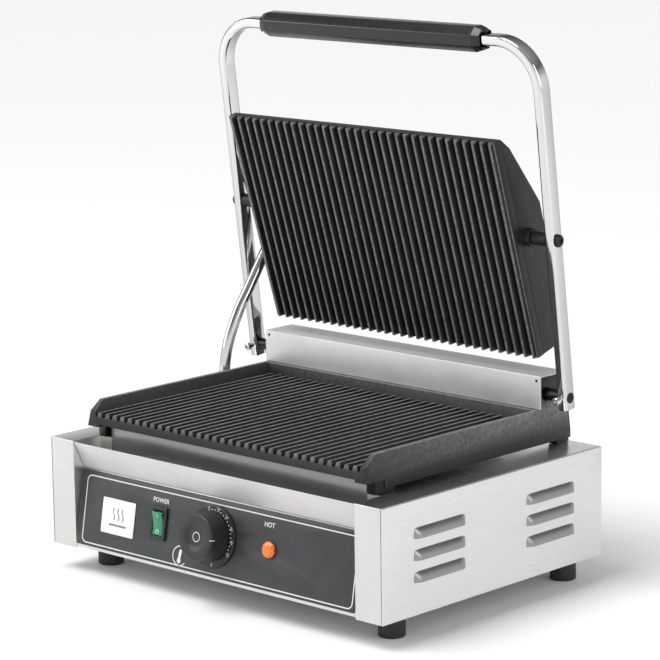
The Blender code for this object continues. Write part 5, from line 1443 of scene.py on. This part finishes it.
# ---- studio ----------------------------------------------------------------------------------
def build_floor(settings):
    """Pale seamless floor."""
    half = settings.floor_size / 2
    shape = bmesh.new()
    corners = [shape.verts.new((x * half, y * half, 0.0)) for x, y in ((-1, -1), (1, -1), (1, 1), (-1, 1))]
    shape.faces.new(corners)
    mesh = as_mesh(shape, "studio_floor")
    material, _, shader = new_finish("studio_floor", settings.floor_colour, 0.9)
    shader.inputs["Specular IOR Level"].default_value = 0.1
    mesh.materials.append(material)
    floor = bpy.data.objects.new("studio_floor", mesh)
    bpy.context.scene.collection.objects.link(floor)


def build_sky(settings):
    """Surroundings: bright at eye level, darker overhead."""
    world = bpy.data.worlds.new("studio")
    world.use_nodes = True
    tree = world.node_tree
    tree.nodes.clear()
    direction = add(tree, "ShaderNodeTexCoord").outputs["Generated"]
    height = add(tree, "ShaderNodeSeparateXYZ", {0: direction}).outputs[2]
    ramp = add(tree, "ShaderNodeValToRGB", {0: height})
    bands = ramp.color_ramp.elements
    levels = ((0.24, settings.sky_low), (0.50, settings.sky_middle), (0.80, settings.sky_high))
    bands.new(levels[1][0])
    for band, (position, level) in zip(bands, levels):
        band.position = position
        band.color = (level, level, level, 1.0)
    light = add(tree, "ShaderNodeBackground", {"Color": ramp.outputs[0], "Strength": 1.0})
    add(tree, "ShaderNodeOutputWorld", {"Surface": light.outputs[0]})
    bpy.context.scene.world = world


def add_softbox(name, place, target, width, height, power):
    """A rectangular area light that faces the target."""
    data = bpy.data.lights.new(name, "AREA")
    data.shape = "RECTANGLE"
    data.size = width
    data.size_y = height
    data.energy = power
    lamp = bpy.data.objects.new(name, data)
    bpy.context.scene.collection.objects.link(lamp)
    lamp.location = place
    lamp.rotation_euler = (Vector(place) - Vector(target)).to_track_quat("Z", "Y").to_euler()
    return lamp


def add_sun(name, azimuth, elevation, strength, spread_angle):
    """A soft sun; azimuth runs from the front towards the right."""
    data = bpy.data.lights.new(name, "SUN")
    data.energy = strength
    data.angle = math.radians(spread_angle)
    lamp = bpy.data.objects.new(name, data)
    bpy.context.scene.collection.objects.link(lamp)
    a, e = math.radians(azimuth), math.radians(elevation)
    toward = Vector((math.sin(a) * math.cos(e), -math.cos(a) * math.cos(e), math.sin(e)))
    lamp.rotation_euler = toward.to_track_quat("Z", "Y").to_euler()
    return lamp


def build_camera(settings):
    """Camera at its angle: back, right and up from azimuth and elevation, then rolled."""
    a, e, r = settings.azimuth, settings.elevation, settings.roll
    behind = Vector((math.sin(a) * math.cos(e), -math.cos(a) * math.cos(e), math.sin(e)))
    right = Vector((math.cos(a), math.sin(a), 0.0))
    up = behind.cross(right)
    rolled_right = right * math.cos(r) + up * math.sin(r)
    rolled_up = up * math.cos(r) - right * math.sin(r)
    data = bpy.data.cameras.new("camera")
    data.lens = settings.lens
    data.sensor_width = 36.0
    data.clip_end = 200.0
    camera = bpy.data.objects.new("camera", data)
    bpy.context.scene.collection.objects.link(camera)
    place = Vector((settings.camera_right, FRONT - settings.camera_front, settings.camera_height))
    camera.matrix_world = Matrix.Translation(place) @ Matrix((rolled_right, rolled_up,
                                                              behind)).transposed().to_4x4()
    bpy.context.scene.camera = camera


def build_studio(scene):
    """Camera, floor, surroundings and lights."""
    settings = scene.press_studio
    build_camera(settings)
    build_floor(settings)
    build_sky(settings)
    add_sun("key_sun", -25.0, 62.0, settings.key, 35.0)
    add_softbox("left_softbox", (-2.2, -1.6, 1.5), (0.0, 0.0, 0.2), 1.6, 1.6, 26.0)
    add_softbox("right_softbox", (2.4, 0.2, 1.3), (0.0, 0.0, 0.2), 1.4, 1.8, 18.0)
    scene.view_settings.view_transform = "Standard"


# ---- operators, panel and registration -------------------------------------------------------
def make_operator(key, label, purpose, *steps):
    """An operator that runs the given builders on the scene and raises if one fails."""

    def execute(self, context):
        for step in steps:
            step(context.scene)
        return {"FINISHED"}

    return type(f"PRESS_OT_{key}", (bpy.types.Operator,),
                {"__doc__": purpose, "bl_idname": f"press.{key}", "bl_label": label, "execute": execute})


OPERATORS = [
    make_operator("studio", "Studio", "Camera, floor and lights", build_studio),
    make_operator("finishes", "Finishes", "All finishes of the press", make_finishes),
    make_operator("casing", "Casing", "Casing, side panels, rear and base sheets", build_shell, build_sides,
                  build_back),
    make_operator("feet", "Feet", "Four rubber feet", build_feet),
    make_operator("front", "Front", "Panel carrier and drip tray", build_front),
    make_operator("overlay", "Overlay", "Control overlay, its marks and the badge", build_overlay,
                  build_badge),
    make_operator("dial", "Dial and knob", "Scale ring and thermostat knob", build_dial, build_knob),
    make_operator("switch", "Switch and lamp", "Rocker switch and pilot lamp", build_switch, build_lamp),
    make_operator("lower_plate", "Lower plate", "Lower casting and its ribs", build_lower_plate),
    make_operator("inner", "Inner parts", "Finishes on the heating and wiring", paint_inner, build_gland),
    make_operator("hinge", "Hinge", "Hinge channel, shaft and springs", build_hinge),
    make_operator("handle", "Handle", "Bar, grip, screws and pins", build_handle),
    make_operator("upper_plate", "Upper plate", "Upper casting, its ribs and the hood", build_upper_plate),
    make_operator("conduit", "Conduit", "Conduit and its collar", build_conduit),
]


class PRESS_PT_pieces(bpy.types.Panel):
    """Sidebar panel that lists the settings and the operators."""

    bl_label = "Panini press"
    bl_idname = "PRESS_PT_pieces"
    bl_space_type = "VIEW_3D"
    bl_region_type = "UI"
    bl_category = "Panini press"

    def draw(self, context):
        for name in SETTINGS:
            group = getattr(context.scene, name)
            column = self.layout.column()
            for key in group.bl_rna.properties.keys():
                if key not in ("rna_type", "name"):
                    column.prop(group, key)
        for operator in OPERATORS:
            self.layout.operator(operator.bl_idname)


CLASSES = [*SETTINGS.values(), *OPERATORS, PRESS_PT_pieces]


def register():
    for item in CLASSES:
        bpy.utils.register_class(item)
    for name, group in SETTINGS.items():
        setattr(bpy.types.Scene, name, bpy.props.PointerProperty(type=group))


def unregister():
    for name in SETTINGS:
        delattr(bpy.types.Scene, name)
    for item in reversed(CLASSES):
        bpy.utils.unregister_class(item)


def main():
    register()
    for operator in OPERATORS:
        module, name = operator.bl_idname.split(".")
        getattr(getattr(bpy.ops, module), name)()


if __name__ == "__main__":
    main()
